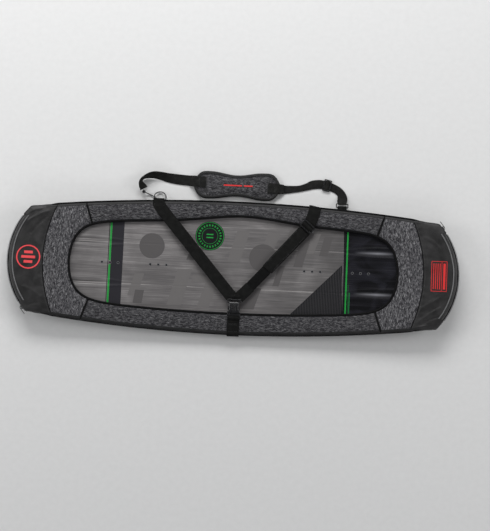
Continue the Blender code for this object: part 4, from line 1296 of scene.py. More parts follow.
def flap(end, end_name):
    """One cover from just inside the fold out over the edge and down to the zip."""
    y = np.linspace(-FLAP_Y, FLAP_Y, 190)
    rows, patterns = [], []
    arc_x = END_X + np.sqrt(0.2350**2 - y**2)
    for t in np.linspace(0, 1, 30):
        points = np.stack([end * (FOLD_START * (1 - t) + arc_x * t), y], -1)
        rows.append(on_cover(points))
        patterns.append(pattern(points))
    for k, (radius, z) in enumerate(FLAP_DROP, 1):
        crease = 0.0007 * ripple(np.stack([y, np.full(len(y), z * 3)], -1), 0.03)
        wavy = radius + crease * min(1, (0.026 - z) / 0.01)
        rows.append(zip_at(end, wavy, np.arcsin(y / radius), z))
        cloth_x = end * (END_X + np.sqrt(radius * radius - y * y) + 0.004 * k)
        patterns.append(pattern(np.stack([cloth_x, y], -1)))
    obj = sheet(f"flap_cover_{end_name}", np.stack(rows, 1), CAP, np.stack(patterns, 1),
                body=None, replaces=f"flap_{end_name}")
    bend_with_flap(obj)
    # pale piping, its light grey a painted highlight, and two rows of stitches that run round inside
    # the zip
    degrees = np.linspace(-35.4, 35.4, 120)
    body = f"flap_{end_name}"
    tube(f"flap_piping_{end_name}", on_cover(end_arc(end, 0.2294, degrees), 0.0003), 0.0017,
         PIPING_PAINTED_HIGHLIGHT, 10, body, flat=0.8)
    for k, (radius, thread) in enumerate(((0.2268, THREAD), (0.2322, THREAD_GREY))):
        stitches(f"flap_stitch_{end_name}_{k}", end_arc(end, radius, degrees), thread,
                 above_cover(0.0002), pitch=0.0046, body=body)


def zip_row(end, end_name, level, low, high, body):
    """A woven tape and its teeth, which sit half a pitch apart on the two rows."""
    angle = np.radians(np.linspace(-ZIP_ANGLE, ZIP_ANGLE, 140))
    profile = [
        (0.2418, low), (0.2446, low), (0.2449, (low + high) / 2), (0.2446, high), (0.2418, high)
    ]
    band = np.stack([zip_at(end, radius, angle, z) for radius, z in profile], 1)
    uvw = strip_uv(angle * END_R, np.array([z for _, z in profile]))
    loft(f"zip_tape_{level}_{end_name}", band, BINDING, uvw, False, 40, body,
         f"zip_{level}_{end_name}")
    pitch = 0.0038
    if level == "lower":
        shift, top, bottom = 0.0, high - 0.0006, high - 0.0030
    else:
        shift, top, bottom = 0.5, low + 0.0030, low - 0.0006
    # sections of a tooth, with a shoulder and a tapered nose: radius, half width, bottom, top
    tooth = (
        (0.2440, 0.00065, bottom, top),
        (0.2452, 0.00105, bottom + 0.0001, top),
        (0.2470, 0.00105, bottom + 0.0002, top - 0.0001),
        (0.2482, 0.00065, bottom + 0.0006, top - 0.0005),
    )
    verts, faces = [], []
    for k in range(int(END_R * math.radians(67.4) / pitch)):
        middle = math.radians(-33.6) + (k + shift) * pitch / END_R
        points = []
        for radius, half, z0, z1 in tooth:
            a0, a1 = middle - half / END_R, middle + half / END_R
            points += [(radius, a0, z0), (radius, a1, z0), (radius, a1, z1), (radius, a0, z1)]
        faces += solid_faces(4, 4, base=len(verts))
        verts.extend(zip_at(end, *np.array(points).T))
    teeth = make(f"zip_teeth_{level}_{end_name}", verts, faces, ZIP, sharp=40)
    outward(teeth)
    register(teeth, body)


def zip_garages(end, end_name):
    """Bars that close off each end of the zip."""
    taper = 1 - 0.35 * np.abs(np.linspace(-1, 1, 20)) ** 6
    for start, stop, side_name in ((34.2, 42.0, "far"), (-42.0, -34.2, "near")):
        angle = np.radians(np.linspace(start, stop, 20))
        bar = [
            zip_at(end, 0.2447 + 0.0016 * taper * math.cos(t), angle,
                   ZIP_Z + 0.0034 * taper * math.sin(t))
            for t in np.linspace(0, 2 * math.pi, 13)[:-1]
        ]
        loft(f"zip_garage_{end_name}_{side_name}", np.stack(bar, 1), BLACK,
             strip_uv(angle * END_R, np.zeros(12)), body="root")


for end, end_name in ENDS:
    cap_cover(end, end_name)
    flap(end, end_name)
    zip_row(end, end_name, "lower", 0.0014, 0.0042, "root")
    zip_row(end, end_name, "upper", 0.0049, 0.0086, f"flap_{end_name}")
    zip_garages(end, end_name)


def zip_placer(end, middle, radius):
    """Local axes at one spot of the zip: along it, up, outward."""
    origin = zip_at(end, radius, middle, ZIP_Z)
    out = zip_at(end, radius + 0.01, middle, ZIP_Z) - origin
    out /= np.linalg.norm(out)
    along = (zip_at(end, radius, middle + 0.001, ZIP_Z) - origin) * np.sign(middle)
    along /= np.linalg.norm(along)
    return placer(origin, along, normal_at(ZIP_X * end), out)


SLIDER = mirrored([
    (-0.0064, -0.0018), (-0.0050, -0.0030), (-0.0010, -0.0033), (0.0040, -0.0030),
    (0.0064, -0.0014),
])
PULL = mirrored([
    (-0.0010, -0.0018), (0.0020, -0.0020), (0.0050, -0.0014), (0.0080, -0.0022),
    (0.0205, -0.0027), (0.0228, -0.0017),
], tip=[(0.0232, 0.0)])


def zip_slider(end, end_name):
    """Slider with its bridge, and a pull with a ribbed grip."""
    place = zip_placer(end, SLIDER_ANGLE * end, 0.2466)
    body = f"slider_{end_name}"
    plate(f"slider_body_{end_name}", SLIDER, 0.0000, 0.0022, STEEL_DARK, place, body,
          f"zip_slider_{end_name}", 0.0004)
    t = np.linspace(0, math.pi, 14)
    arch = np.stack([-0.0046 * np.cos(t), np.zeros(14), 0.0018 + 0.0030 * np.sin(t) ** 0.8], -1)
    tube(f"slider_bridge_{end_name}", place(arch), 0.0008, STEEL_DARK, 10, body,
         normal_at(ZIP_X * end))
    place = zip_placer(end, SLIDER_ANGLE * end, 0.2520)
    body = f"pull_{end_name}"
    plate(f"pull_tab_{end_name}", PULL, -0.0008, 0.0009, PLASTIC, place, body,
          replaces=f"zip_pull_{end_name}", bevel=0.0004)
    out = place([0, 0, 1.0]) - place([0, 0, 0.0])
    for k, x in enumerate(np.arange(0.0100, 0.0200, 0.0020)):
        rib = place([[x, -0.0021, 0.0010], [x, 0.0, 0.00115], [x, 0.0021, 0.0010]])
        tube(f"pull_rib_{end_name}_{k}", rib, 0.00035, PLASTIC, 6, body, out)


for end in ENDS:
    zip_slider(*end)


# ------------------------------------------------------------------ underside
def base_shell():
    """The quilted underside, turned up a little at its edge."""
    length = 0.7085
    x = np.unique(np.r_[
        np.linspace(-length, length, 300), np.linspace(-length, -0.655, 26),
        np.linspace(0.655, length, 26),
    ])
    across = np.unique(np.r_[np.linspace(-1, 1, 97), 0.985, -0.985, 0.993, -0.993])
    half = np.maximum(sleeve_w(x) - 0.0006, 0.006)
    y = half[:, None] * across[None]
    points = np.stack([np.broadcast_to(x[:, None], y.shape), y], -1)
    edge = (1 - np.abs(across)[None]) * half[:, None]
    edge = np.minimum(edge, (0.7090 - np.abs(x))[:, None])
    pitch = 0.085
    rising, falling = ((points[..., 0] + sign * points[..., 1]) / pitch for sign in (1, -1))
    to_line = np.minimum(np.abs(rising - np.round(rising)), np.abs(falling - np.round(falling)))
    quilt = ridge(to_line * pitch / 1.414, 0.0010, 0.0035) * (edge > 0.012)
    z = 0.0003 + quilt + 0.0016 * np.exp(-edge / 0.0022) + 0.0002 * (ripple(points, 0.07) + 1)
    sheet("base_shell", lay(points, z), BASE, pattern(points), 0.0011,
          replaces="base_outer_panel", downward=True)


base_shell()
for end, end_name in ENDS:
    angle = np.radians(np.linspace(-42, 42, 160))
    path = zip_at(end, 0.2438, angle, 0.0012)
    tube(f"base_piping_{end_name}", path, 0.0013, BINDING, 8)
    for sign, side_name in SIDES:
        x = np.linspace(0.0, 0.640, 120)
        line = np.stack([end * x, sign * (side_w(x) - 0.0008)], -1)
        tube(f"base_piping_{end_name}_{side_name}", lay(line, 0.0016), 0.0014, BINDING, 8)


# ------------------------------------------------------------------ V strap
def strap_heights(path, gap, straight):
    """Heights of a strap: on the padding it lies on it, over the opening it runs straight."""
    normal = left_of(path)
    spread = [cover_height(path + normal * V_STRAP_W * k) for k in (-0.45, -0.2, 0.0, 0.2, 0.45)]
    over = np.maximum.reduce(spread) + gap
    x, y = np.clip(path[:, 0], -0.5, 0.5), path[:, 1]
    inside = np.abs(y) < np.where(y > 0, opening(x, 1), opening(x, -1)) - 0.004
    z = np.where(inside, straight, over)
    kernel = np.hanning(13)
    kernel /= kernel.sum()
    return np.convolve(np.r_[[z[0]] * 6, z, [z[-1]] * 6], kernel, "valid")


def v_strap(name, line, count, gap, straight, wrap=False, replaces=None, width=V_STRAP_W,
            material=WEB):
    """One length of the V strap; wrap takes its start down over the sleeve's edge."""
    path = spline(line, count)
    z = strap_heights(path, gap, straight)
    world = lay(path, z)
    side = lay(path + left_of(path) * 0.01, z) - world
    if wrap:
        x, y = path[0]
        edge = float(side_w(x))
        down = spline([
            (edge + 0.0048, 0.0200), (edge + 0.0052, 0.0232), (edge + 0.0047, 0.0262),
            (edge + 0.0022, 0.0284), (y, z[0]),
        ], 14)[:-1]
        world = np.r_[roll(np.c_[np.full(len(down), x), down]), world]
        side = np.r_[np.repeat(side[:1], len(down), 0), side]
    strap(name, world, side, width, material, thick=0.0016, replaces=replaces, across=11,
          crown=0.0003)


LEFT_LIE = (0.0012, 0.0303)  # gap over the padding, straight height
TAIL_LIE = (0.0030, 0.0302)
v_strap(
    "v_strap_right_cover",
    [(0.2515, 0.1985), (0.2475, 0.180), (0.2330, 0.1410), (0.2150, 0.1190), (0.1720, 0.0712),
     (0.1150, 0.0080)],
    130, 0.0010, 0.0282, wrap=True, replaces="v_strap_right",
)
# the narrower, darker hook tape shows where the doubled tail stops
v_strap("v_strap_right_hook_tape", [(0.1160, 0.0091), (0.0850, -0.0254), (0.0500, -0.0640)],
        50, 0.0010, 0.0282, width=0.0330, material=WEB_DARK)
v_strap(
    "v_strap_right_lower",
    [(0.0560, -0.0575), (0.0420, -0.0725), (0.0270, -0.0880), (0.0210, -0.0945)],
    34, 0.0010, 0.0284, width=0.0360,
)
v_strap(
    "v_strap_left_cover",
    [(-0.2446, 0.1985), (-0.2440, 0.1900), (-0.2225, 0.1620), (-0.1500, 0.0790),
     (-0.0780, -0.0040), (-0.0100, -0.0815), (0.0010, -0.0930)],
    170, *LEFT_LIE, wrap=True, replaces="v_strap_left",
)
v_strap("v_strap_tail_cover", [(0.2195, 0.1283), (0.1640, 0.0641), (0.1080, -0.0007)],
        90, *TAIL_LIE, replaces="v_strap_tail")


def strap_stitches(name, line, offset, gap, straight):
    """A row of stitches on each side of a strap's middle line."""
    path = resample(np.array(line, float), 60)
    normal = left_of(path)
    z = strap_heights(path, gap, straight)
    for k, shift in enumerate((-offset, offset)):
        row = path + normal * shift

        def place(points, bow, row=row):
            near = np.array([np.argmin(((row - point) ** 2).sum(1)) for point in points])
            return lay(points, z[near] + 0.00105 + bow)

        stitches(f"{name}_{k}", row, THREAD_GREY, place, pitch=0.0036, length=0.0024,
                 radius=0.0003)


strap_stitches("tail_stitch", [(0.2100, 0.1173), (0.1120, 0.0039)], 0.0160, *TAIL_LIE)
strap_stitches("v_left_stitch", [(-0.2440, 0.1950), (-0.2441, 0.1840)], 0.0150, *LEFT_LIE)


def strap_placer(x, y, z):
    """Local axes on the V strap's right arm: along it, across it, up."""
    along = tangent_at(x) * 0.667 + Y_AXIS * 0.745
    along /= np.linalg.norm(along)
    normal = normal_at(x)
    return placer(roll([x, y, z]), along, np.cross(normal, along), normal)


def two_slot_bar(name, place, half, thick, slot, body, replaces, fold_name, fold, fold_width,
                 fold_thick, material):
    """A plate with two slots, and the webbing that passes up over its middle bar.

    half and slot are half sizes (x, y); fold is half of the webbing's (x, z) path.
    """
    slot_x, slot_y = slot
    holes = [
        rounded(-slot_x, -0.0022, -slot_y, slot_y, 0.0008),
        rounded(0.0022, slot_x, -slot_y, slot_y, 0.0008),
    ]
    outline = rounded(-half[0], half[0], -half[1], half[1], 0.0030)
    plate(name, outline, 0.0, thick, PLASTIC, place, body, replaces=replaces, bevel=0.0007,
          holes=holes)
    path = [*fold, *[(-x, z) for x, z in fold[-2::-1]]]
    side = place([0.0, 0.01, 0.0]) - place([0.0, 0.0, 0.0])
    strap(fold_name, place([(x, 0.0, z) for x, z in path]), side, fold_width, material, body,
          fold_thick)


two_slot_bar(
    "triglide_body", strap_placer(0.2300, 0.1400, 0.0318), (0.0130, 0.0225), 0.0030,
    (0.0092, 0.0192), "root", "v_triglide", "triglide_fold",
    [(-0.0088, -0.0010), (-0.0050, 0.0014), (-0.0025, 0.0036), (0.0, 0.0042)],
    fold_width=0.0370, fold_thick=0.0014, material=WEB,
)
t = np.linspace(-0.5 * math.pi, 1.15 * math.pi, 26)
wire = np.stack([-0.0010 + 0.0052 * np.cos(t), 0.0052 * np.sin(t), 0.0014 + 0.0006 * np.cos(t)], -1)
tube("v_wire_hook", strap_placer(0.2440, 0.1250, 0.0312)(wire), 0.0010, STEEL, 10,
     up=normal_at(0.244))

# ------------------------------------------------------------------ buckle
buckle = placer(
    roll([BUCKLE_X, 0.0, 0.0]), tangent_at(BUCKLE_X), Y_AXIS, normal_at(BUCKLE_X)
)

# y, half width, low, high
HOUSING = [
    (-0.1080, 0.0150, 0.0300, 0.0352), (-0.1086, 0.0160, 0.0290, 0.0362),
    (-0.1110, 0.0160, 0.0278, 0.0374), (-0.1160, 0.0152, 0.0276, 0.0381),
    (-0.1230, 0.0147, 0.0275, 0.0384), (-0.1300, 0.0149, 0.0275, 0.0384),
    (-0.1345, 0.0165, 0.0275, 0.0382), (-0.1375, 0.0198, 0.0275, 0.0380),
    (-0.1400, 0.0214, 0.0276, 0.0378), (-0.1420, 0.0216, 0.0278, 0.0375),
    (-0.1425, 0.0208, 0.0285, 0.0368),
]


def buckle_housing():
    """A soft-cornered shell, hollow from its near end, with grip ridges on top."""
    across, up = soft_circle(28, 0.42)
    sections = [
        np.stack([half * across, np.full(28, y), (low + high) / 2 + (high - low) / 2 * up], -1)
        for y, half, low, high in HOUSING
    ]
    shell = loft("buckle_shell", buckle(sections), PLASTIC)
    cavity = [
        buckle([(-0.0184, y, 0.0291), (0.0184, y, 0.0291), (0.0184, y, 0.0361),
                (-0.0184, y, 0.0361)])
        for y in (-0.1450, -0.1170)
    ]
    cut_away(shell, loft("buckle_cutter", cavity, PLASTIC, sharp=30))
    smooth_mesh(shell.data, 38)
    register(shell, "root", "buckle_housing")
    # the slotted loop at its far end
    plate("buckle_loop", rounded(-0.0212, 0.0212, -0.1105, -0.0985, 0.0024), 0.0302, 0.0350,
          PLASTIC, buckle, "root", holes=[rounded(-0.0185, 0.0185, -0.1076, -0.1032, 0.0006)])
    for k, x in enumerate((-0.0060, -0.0020, 0.0020, 0.0060)):
        ridge_line = buckle([
            [x, -0.1350, 0.03825], [x, -0.1300, 0.03865], [x, -0.1200, 0.03865],
            [x, -0.1155, 0.03830],
        ])
        tube(f"buckle_ridge_{k}", ridge_line, 0.0005, PLASTIC, 6,
             up=normal_at(BUCKLE_X))


TONGUE = [
    (-0.0186, -0.1600), (0.0186, -0.1600), (0.0208, -0.1580), (0.0213, -0.1500),
    (0.0208, -0.1440), (0.0195, -0.1433), (0.0030, -0.1433), (0.0024, -0.1185),
    (0.0, -0.1178), (-0.0024, -0.1185), (-0.0030, -0.1433), (-0.0195, -0.1433),
    (-0.0208, -0.1440), (-0.0213, -0.1500), (-0.0208, -0.1580),
]
LATCH_ARM = [
    (0.0127, -0.1430), (0.0163, -0.1430), (0.0168, -0.1370), (0.0171, -0.1335),
    (0.0186, -0.1322), (0.0188, -0.1290), (0.0184, -0.1250), (0.0170, -0.1212),
    (0.0148, -0.1188), (0.0130, -0.1186), (0.0133, -0.1230), (0.0132, -0.1320),
]


def buckle_tongue():
    """The tongue, and its two latch arms with thumb ribs."""
    plate("tongue_body", TONGUE, 0.0298, 0.0352, PLASTIC, buckle, "tongue",
          replaces="buckle_tongue", holes=[rounded(-0.0178, 0.0178, -0.1565, -0.1508, 0.0008)])
    for end, end_name in ENDS:
        arm = [(end * x, y) for x, y in LATCH_ARM][::end]
        plate(f"latch_{end_name}", arm, 0.0304, 0.0348, PLASTIC, buckle, f"latch_{end_name}",
              replaces=f"latch_arm_{end_name}", bevel=0.0005)
        for k, y in enumerate((-0.1308, -0.1288, -0.1268)):
            rib = [(end * x, y, z) for x, z in ((0.0187, 0.0308), (0.0189, 0.0326),
                                                (0.0187, 0.0344))]
            tube(f"latch_rib_{end_name}_{k}", buckle(rib), 0.00032, PLASTIC, 6,
                 f"latch_{end_name}", Y_AXIS)


buckle_housing()
buckle_tongue()


def buckle_strap(name, profile, count, width, body, thick=0.0016, replaces=None):
    """Webbing in the buckle's middle plane, from (y, z) points."""
    path = buckle(np.c_[np.zeros(count), spline(profile, count)])
    return strap(name, path, tangent_at(BUCKLE_X), width, WEB, body, thick, replaces=replaces)


def cover_beside(y):
    """Height of the sleeve's top at the buckle's station."""
    return cover_height(np.stack([np.full(np.shape(y), BUCKLE_X), y], -1))


# the folded apex of the V, which runs under the loop's bar
buckle_strap(
    "v_apex_fold",
    [(-0.0850, 0.0312), (-0.0915, 0.0318), (-0.0960, 0.0304), (-0.1000, 0.0292),
     (-0.1050, 0.0292)],
    18, np.linspace(0.0400, 0.0368, 18), "root",
)

# the tab runs out from the tongue; its outer end is sewn to the sleeve
TAB_BEND = [tuple(buckle([0.0, y, 0.0300])) for y in (-0.2045, -0.1620)]
profile = [(-0.1455, 0.0284), (-0.1500, 0.0287)]
profile += [
    (y, float(cover_beside(y)) + 0.0013) for y in (-0.157, -0.165, -0.174, -0.183, -0.192, -0.199)
]
profile += [
    (-0.2050, 0.0296), (-0.2100, 0.0288), (-0.2134, 0.0262), (-0.2144, 0.0225),
    (-0.2146, 0.0150), (-0.2144, 0.0080), (-0.2138, 0.0034),
]
tab = buckle_strap("buckle_tab_cover", profile, 70, 0.0380, None, replaces="buckle_tab_webbing")
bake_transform(tab)
buckle_strap(
    "tongue_loop",
    [(-0.1528, 0.0300), (-0.1532, 0.0350), (-0.1560, 0.0372), (-0.1600, 0.0370),
     (-0.1635, 0.0345), (-0.1665, 0.0325), (-0.1720, 0.0324)],
    26, 0.0350, "tongue", thick=0.0015,
)
for k, y in enumerate((-0.1760, -0.1795, -0.2000)):
    seam = stitches(
        f"tab_stitch_{k}", [[-0.0160, y], [0.0160, y]], THREAD_GREY,
        lambda points, bow: buckle(np.c_[points, cover_beside(points[:, 1]) + 0.0022 + bow]),
        pitch=0.0034, length=0.0022, radius=0.0003, body=None,
    )
    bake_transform(seam)

# ------------------------------------------------------------------ rings and hook, far edge
HINGE_Y, HINGE_Z = (float(v) for v in JOINTS["carry_strap_lift"]["pos_m"][1:3])
D_RING_X, RING_X = -0.2426, 0.337
D_RING_R, D_RING_RISE = 0.0190, 0.0085  # the D ring's bow and the distance of its centre
RING_TILT = math.radians(21)
RING_UP = np.array([0.0, math.sin(RING_TILT), math.cos(RING_TILT)])


def on_ring(x, out):
    """World points in the rings' plane, which falls away from the hinge."""
    x, out = np.broadcast_arrays(np.asarray(x, float), np.asarray(out, float))
    y, z = HINGE_Y + out * math.cos(RING_TILT), HINGE_Z - out * math.sin(RING_TILT)
    return np.stack([x, y, z], -1)


def ring_tab(name, x, leg, replaces):
    """A tab of webbing looped round a ring, its two legs against the sleeve at y = leg."""
    radius = 0.0042
    back = HINGE_Y - 0.0022
    path = [(leg, HINGE_Z + 0.0085), (leg, HINGE_Z + 0.0052), (back, HINGE_Z + radius * 0.98)]
    path += [
        (HINGE_Y + radius * math.cos(t), HINGE_Z + radius * math.sin(t))
        for t in np.radians([62, 30, 0, -30, -62])
    ]
    path += [(back, HINGE_Z - radius * 0.98), (leg, HINGE_Z - 0.0052), (leg, HINGE_Z - 0.0085)]
    strap(name, np.c_[np.full(60, x), spline(path, 60)], X_AXIS, 0.0290, WEB, thick=0.0013,
          replaces=replaces)


ring_tab("d_ring_tab_cover", D_RING_X, 0.2044, "d_ring_tab")
ring_tab("ring_tab_cover", RING_X, 0.1988, "ring_tab_right")


def ring_wire(name, x, path, radius, material, sides, replaces):
    path = np.array(path)
    tube(name, on_ring(x + path[:, 0], path[:, 1]), radius, material, sides, "carry_strap",
         RING_UP, closed=True, replaces=replaces)


path = [(x, 0.0) for x in np.linspace(-0.0165, 0.0165, 9)]
path += [(0.0183, 0.0011), (0.0189, 0.0040)]
path += [
    (D_RING_R * math.cos(t), D_RING_RISE + D_RING_R * math.sin(t))
    for t in np.radians(np.linspace(0, 180, 33))
]
path += [(-0.0189, 0.0040), (-0.0183, 0.0011)]
ring_wire("d_ring_wire", D_RING_X, path, 0.0018, STEEL_DARK, 16, "d_ring")
path = rounded(-0.0185, 0.0185, 0.0, 0.0135, 0.0026, 6)
ring_wire("ring_right_wire", RING_X, path, 0.0015, STEEL_PAINTED, 14, "ring_right")


def snap_hook():
    """Hook, gate and swivel, on a line that leaves the D ring's wire."""
    grip = math.radians(175)
    wire = on_ring(
        D_RING_X + D_RING_R * math.cos(grip), D_RING_RISE + D_RING_R * math.sin(grip)
    )
    along = np.array([-0.9200, 0.3919, 0.0])
    side = np.cross(along, Z_AXIS)
    centre = wire + along * 0.0122
    centre[2] = 0.0097
    t = np.radians(np.linspace(130, 410, 60))[:, None]
    path = centre + along * (0.0175 * np.cos(t)) + Z_AXIS * (0.0070 * np.sin(t))
    tube("hook_wire", path, 0.0016, STEEL, 14, "carry_strap", side,
         replaces="snap_hook")
    gate = centre + along * 0.0085 + Z_AXIS * 0.0052
    gate = gate + along * np.linspace(0.0004, -0.0176, 12)[:, None]
    gate = gate + Z_AXIS * (0.0003 * np.sin(np.linspace(0, math.pi, 12)))[:, None]
    tube("hook_gate_bar", gate, 0.0011, STEEL_DARK, 12, "gate", side,
         replaces="hook_gate")
    # along the hook, half width, half height
    swivel = (
        (0.0191, 0.0024, 0.0024), (0.0195, 0.0030, 0.0030), (0.0208, 0.0036, 0.0036),
        (0.0220, 0.0045, 0.0044), (0.0236, 0.0050, 0.0056), (0.0258, 0.0052, 0.0068),
        (0.0276, 0.0050, 0.0070), (0.0285, 0.0042, 0.0062),
    )
    across, up = (v[:, None] for v in soft_circle(24, 0.6))
    sections = [
        centre + along * run + side * (half * across) + Z_AXIS * (high * up)
        for run, half, high in swivel
    ]
    loft("hook_swivel_body", sections, STEEL_DARK, body="carry_strap",
         replaces="hook_swivel")


snap_hook()

# ------------------------------------------------------------------ carry strap
# x, y, z, turn about its run in degrees, width
CARRY_PATH = np.array([
    (-0.2954, 0.2420, 0.0090, 26, 0.0280), (-0.2980, 0.2468, 0.0102, 33, 0.0285),
    (-0.3015, 0.2520, 0.0118, 42, 0.0285), (-0.3050, 0.2610, 0.0132, 60, 0.0270),
    (-0.3040, 0.2700, 0.0140, 78, 0.0265), (-0.2955, 0.2775, 0.0143, 76, 0.0270),
    (-0.2820, 0.2835, 0.0138, 62, 0.0285), (-0.2640, 0.2868, 0.0125, 48, 0.0295),
    (-0.2437, 0.2850, 0.0102, 38, 0.0300), (-0.2192, 0.2805, 0.0068, 22, 0.0305),
    (-0.1960, 0.2782, 0.0030, 6, 0.0320), (-0.1760, 0.2766, 0.0013, 0, 0.0330),
    (-0.1434, 0.2745, 0.0013, 0, 0.0335), (-0.1000, 0.2710, 0.0013, 0, 0.0335),
    (0.0, 0.2650, 0.0013, 0, 0.0335), (0.1000, 0.2612, 0.0013, 0, 0.0320),
    (0.1364, 0.2597, 0.0013, 0, 0.0300), (0.1626, 0.2604, 0.0013, 0, 0.0250),
    (0.2000, 0.2650, 0.0013, 0, 0.0205), (0.2280, 0.2737, 0.0013, 0, 0.0240),
    (0.2408, 0.2790, 0.0013, 0, 0.0280), (0.2640, 0.2822, 0.0013, 0, 0.0280),
    (0.2840, 0.2800, 0.0013, 0, 0.0245), (0.3050, 0.2730, 0.0013, 0, 0.0250),
    (0.3205, 0.2655, 0.0013, 0, 0.0250), (0.3305, 0.2570, 0.0013, 0, 0.0255),
    (0.3360, 0.2470, 0.0020, 0, 0.0290), (0.3375, 0.2370, 0.0042, 0, 0.0320),
    (0.3370, 0.2265, 0.0085, 0, 0.0290),
])
scale = [1, 1, 1, 0.0001, 1]  # keeps the degrees from counting in the spacing of the points
smooth_path = spline(CARRY_PATH * scale, 230) / scale
carry = smooth_path[:, :3]
turn = np.radians(smooth_path[:, 3])[:, None]
carry[:, 2] = np.maximum(carry[:, 2], 0.0011)
run = np.gradient(carry, axis=0)
run /= np.linalg.norm(run, axis=1)[:, None]
level = level_side(carry)
side = np.cos(turn) * level + np.sin(turn) * np.cross(run, level)
strap("carry_webbing", carry, side, smooth_path[:, 4], WEB_LIGHT, "carry_strap",
      replaces="shoulder_webbing", across=11, crown=0.0001)
# folded over the ring at its right end
fold = spline([
    (0.337, 0.2290, 0.0078), (0.337, 0.2240, 0.0102), (0.337, 0.2205, 0.0122),
    (0.337, 0.2188, 0.0104), (0.337, 0.2200, 0.0078), (0.3365, 0.2260, 0.0056),
    (0.3350, 0.2340, 0.0022),
], 40)
strap("carry_fold_right", fold, X_AXIS, 0.0285, WEB_LIGHT, "carry_strap", 0.0013)


def carry_y(x):
    """Where the middle of the carry webbing's flat run lies at one x."""
    return carry[int(np.argmin(np.abs(carry[:, 0] - x) + (carry[:, 2] > 0.004) * 1.0))][1]


# ------------------------------------------------------------------ shoulder pad
PAD_X, PAD_Y = 0.138, 0.264  # half length, and the line its middle lies on
PAD_SPLIT = 0.0069  # between the cushion's top and underside
PAD_TOP = 0.0096


def pad_half(x):
    t = np.abs(x) / PAD_X
    lobe = 0.0335 + 0.0105 * np.sin(np.minimum(t / 0.62, 1.0) * math.pi / 2) ** 2
    return lobe * (1.0 - np.maximum(0.0, (t - 0.70) / 0.30) ** 2.6 * 0.80)


def pad_rim():
    """The pad's outline about its own middle, with its corners eased."""
    x = PAD_X * 0.9885 * np.sin(np.linspace(-math.pi / 2, math.pi / 2, 110))
    rim = np.r_[np.stack([x, pad_half(x)], -1), np.stack([x[::-1], -pad_half(x[::-1])], -1)]
    rim = resample(np.r_[rim, rim[:1]], 321)[:-1]
    for _ in range(6):
        rim = (np.roll(rim, 1, 0) + rim * 2 + np.roll(rim, -1, 0)) / 4
    return rim


RIM = pad_rim()
RIM_OUT = outward_of(RIM)


def inflated(cushion):
    """The cushion's points after it is blown up a little."""
    cloth = cushion.modifiers.new("Cloth", "CLOTH")
    cloth.settings.quality = 6
    cloth.settings.mass = 0.2
    cloth.settings.use_pressure = True
    cloth.settings.uniform_pressure_force = 0.6
    cloth.settings.effector_weights.gravity = 0.0
    cloth.collision_settings.use_self_collision = False
    cloth.point_cache.frame_start, cloth.point_cache.frame_end = 1, 20
    for number in range(1, 21):
        bpy.context.scene.frame_set(number)
    graph = bpy.context.evaluated_depsgraph_get()
    blown = np.array([v.co for v in cushion.evaluated_get(graph).data.vertices])
    cushion.modifiers.remove(cushion.modifiers["Cloth"])
    bpy.context.scene.frame_set(1)
    return blown


def pad_cushion():
    """The padded body, blown up as cloth; returns its surface for laying things on."""
    line = RIM - RIM_OUT * 0.0045
    rings = [line * 0.02, line * 0.35, line * 0.7, line * 0.93, line]
    top = [np.c_[loop, np.full(len(loop), 0.0098)] for loop in rings]
    low = [np.c_[loop, np.full(len(loop), 0.0040)] for loop in rings[::-1]]
    sections = np.array(top + low) + [0.0, PAD_Y, 0.0]
    cushion = loft("pad_cushion", sections, HEATHER_SIDE_SHADED, sharp=60)
    remesh = cushion.modifiers.new("remesh", "REMESH")
    remesh.mode = "VOXEL"
    remesh.voxel_size = 0.004
    remesh.use_smooth_shade = True
    apply_all(cushion)
    start = np.array([v.co for v in cushion.data.vertices])
    shift = inflated(cushion) - start
    size = np.linalg.norm(shift, axis=1)
    shift *= np.minimum(1, 0.0050 / np.maximum(size, 1e-9))[:, None]
    # it lies on the strap, so its underside stays flat; the rim is held by its binding
    shape = start + shift
    hold = np.clip(distance(shape[:, :2] - [0, PAD_Y], RIM, closed=True) / 0.012, 0, 1)
    shape[:, :2] = start[:, :2]
    z = shape[:, 2]
    top = PAD_TOP + (z - PAD_TOP) * (0.25 + 0.75 * hold)
    shape[:, 2] = np.where(z > PAD_SPLIT, top, np.maximum(z, 0.0030))
    # sewn channels across it, one each side of the middle
    for x in (-0.0700, 0.0700):
        curve = x + np.sign(x) * 6.0 * (shape[:, 1] - PAD_Y) ** 2
        groove = ridge(shape[:, 0] - curve, 0.0018, 0.0030) * hold
        shape[:, 2] -= np.where(shape[:, 2] > 0.0075, groove, 0)
    cushion.data.vertices.foreach_set("co", shape.reshape(-1))
    cushion.data.update()
    smooth = cushion.modifiers.new("smooth", "SUBSURF")
    smooth.levels = smooth.render_levels = 1
    apply_all(cushion)
    points = np.array([v.co for v in cushion.data.vertices])
    store_uvw(cushion.data, points)
    cushion.data.shade_smooth()
    register(cushion, "pad")
    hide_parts("pad_foam", "pad_top_cover", "pad_backing")
    faces = [tuple(face.vertices) for face in cushion.data.polygons]
    return BVHTree.FromPolygons([Vector(point) for point in points], faces)


PAD_SURFACE = pad_cushion()


def on_pad(points, lift=0.0):
    """World (x, y) points dropped onto the pad."""
    points = np.asarray(points, float)
    out = np.empty(points.shape[:-1] + (3,))
    for k in np.ndindex(points.shape[:-1]):
        x, y = points[k]
        hit = PAD_SURFACE.ray_cast(Vector((x, y, 0.08)), Vector((0, 0, -1)))[0]
        out[k] = (x, y, (hit.z if hit else 0.0105) + lift)
    return out


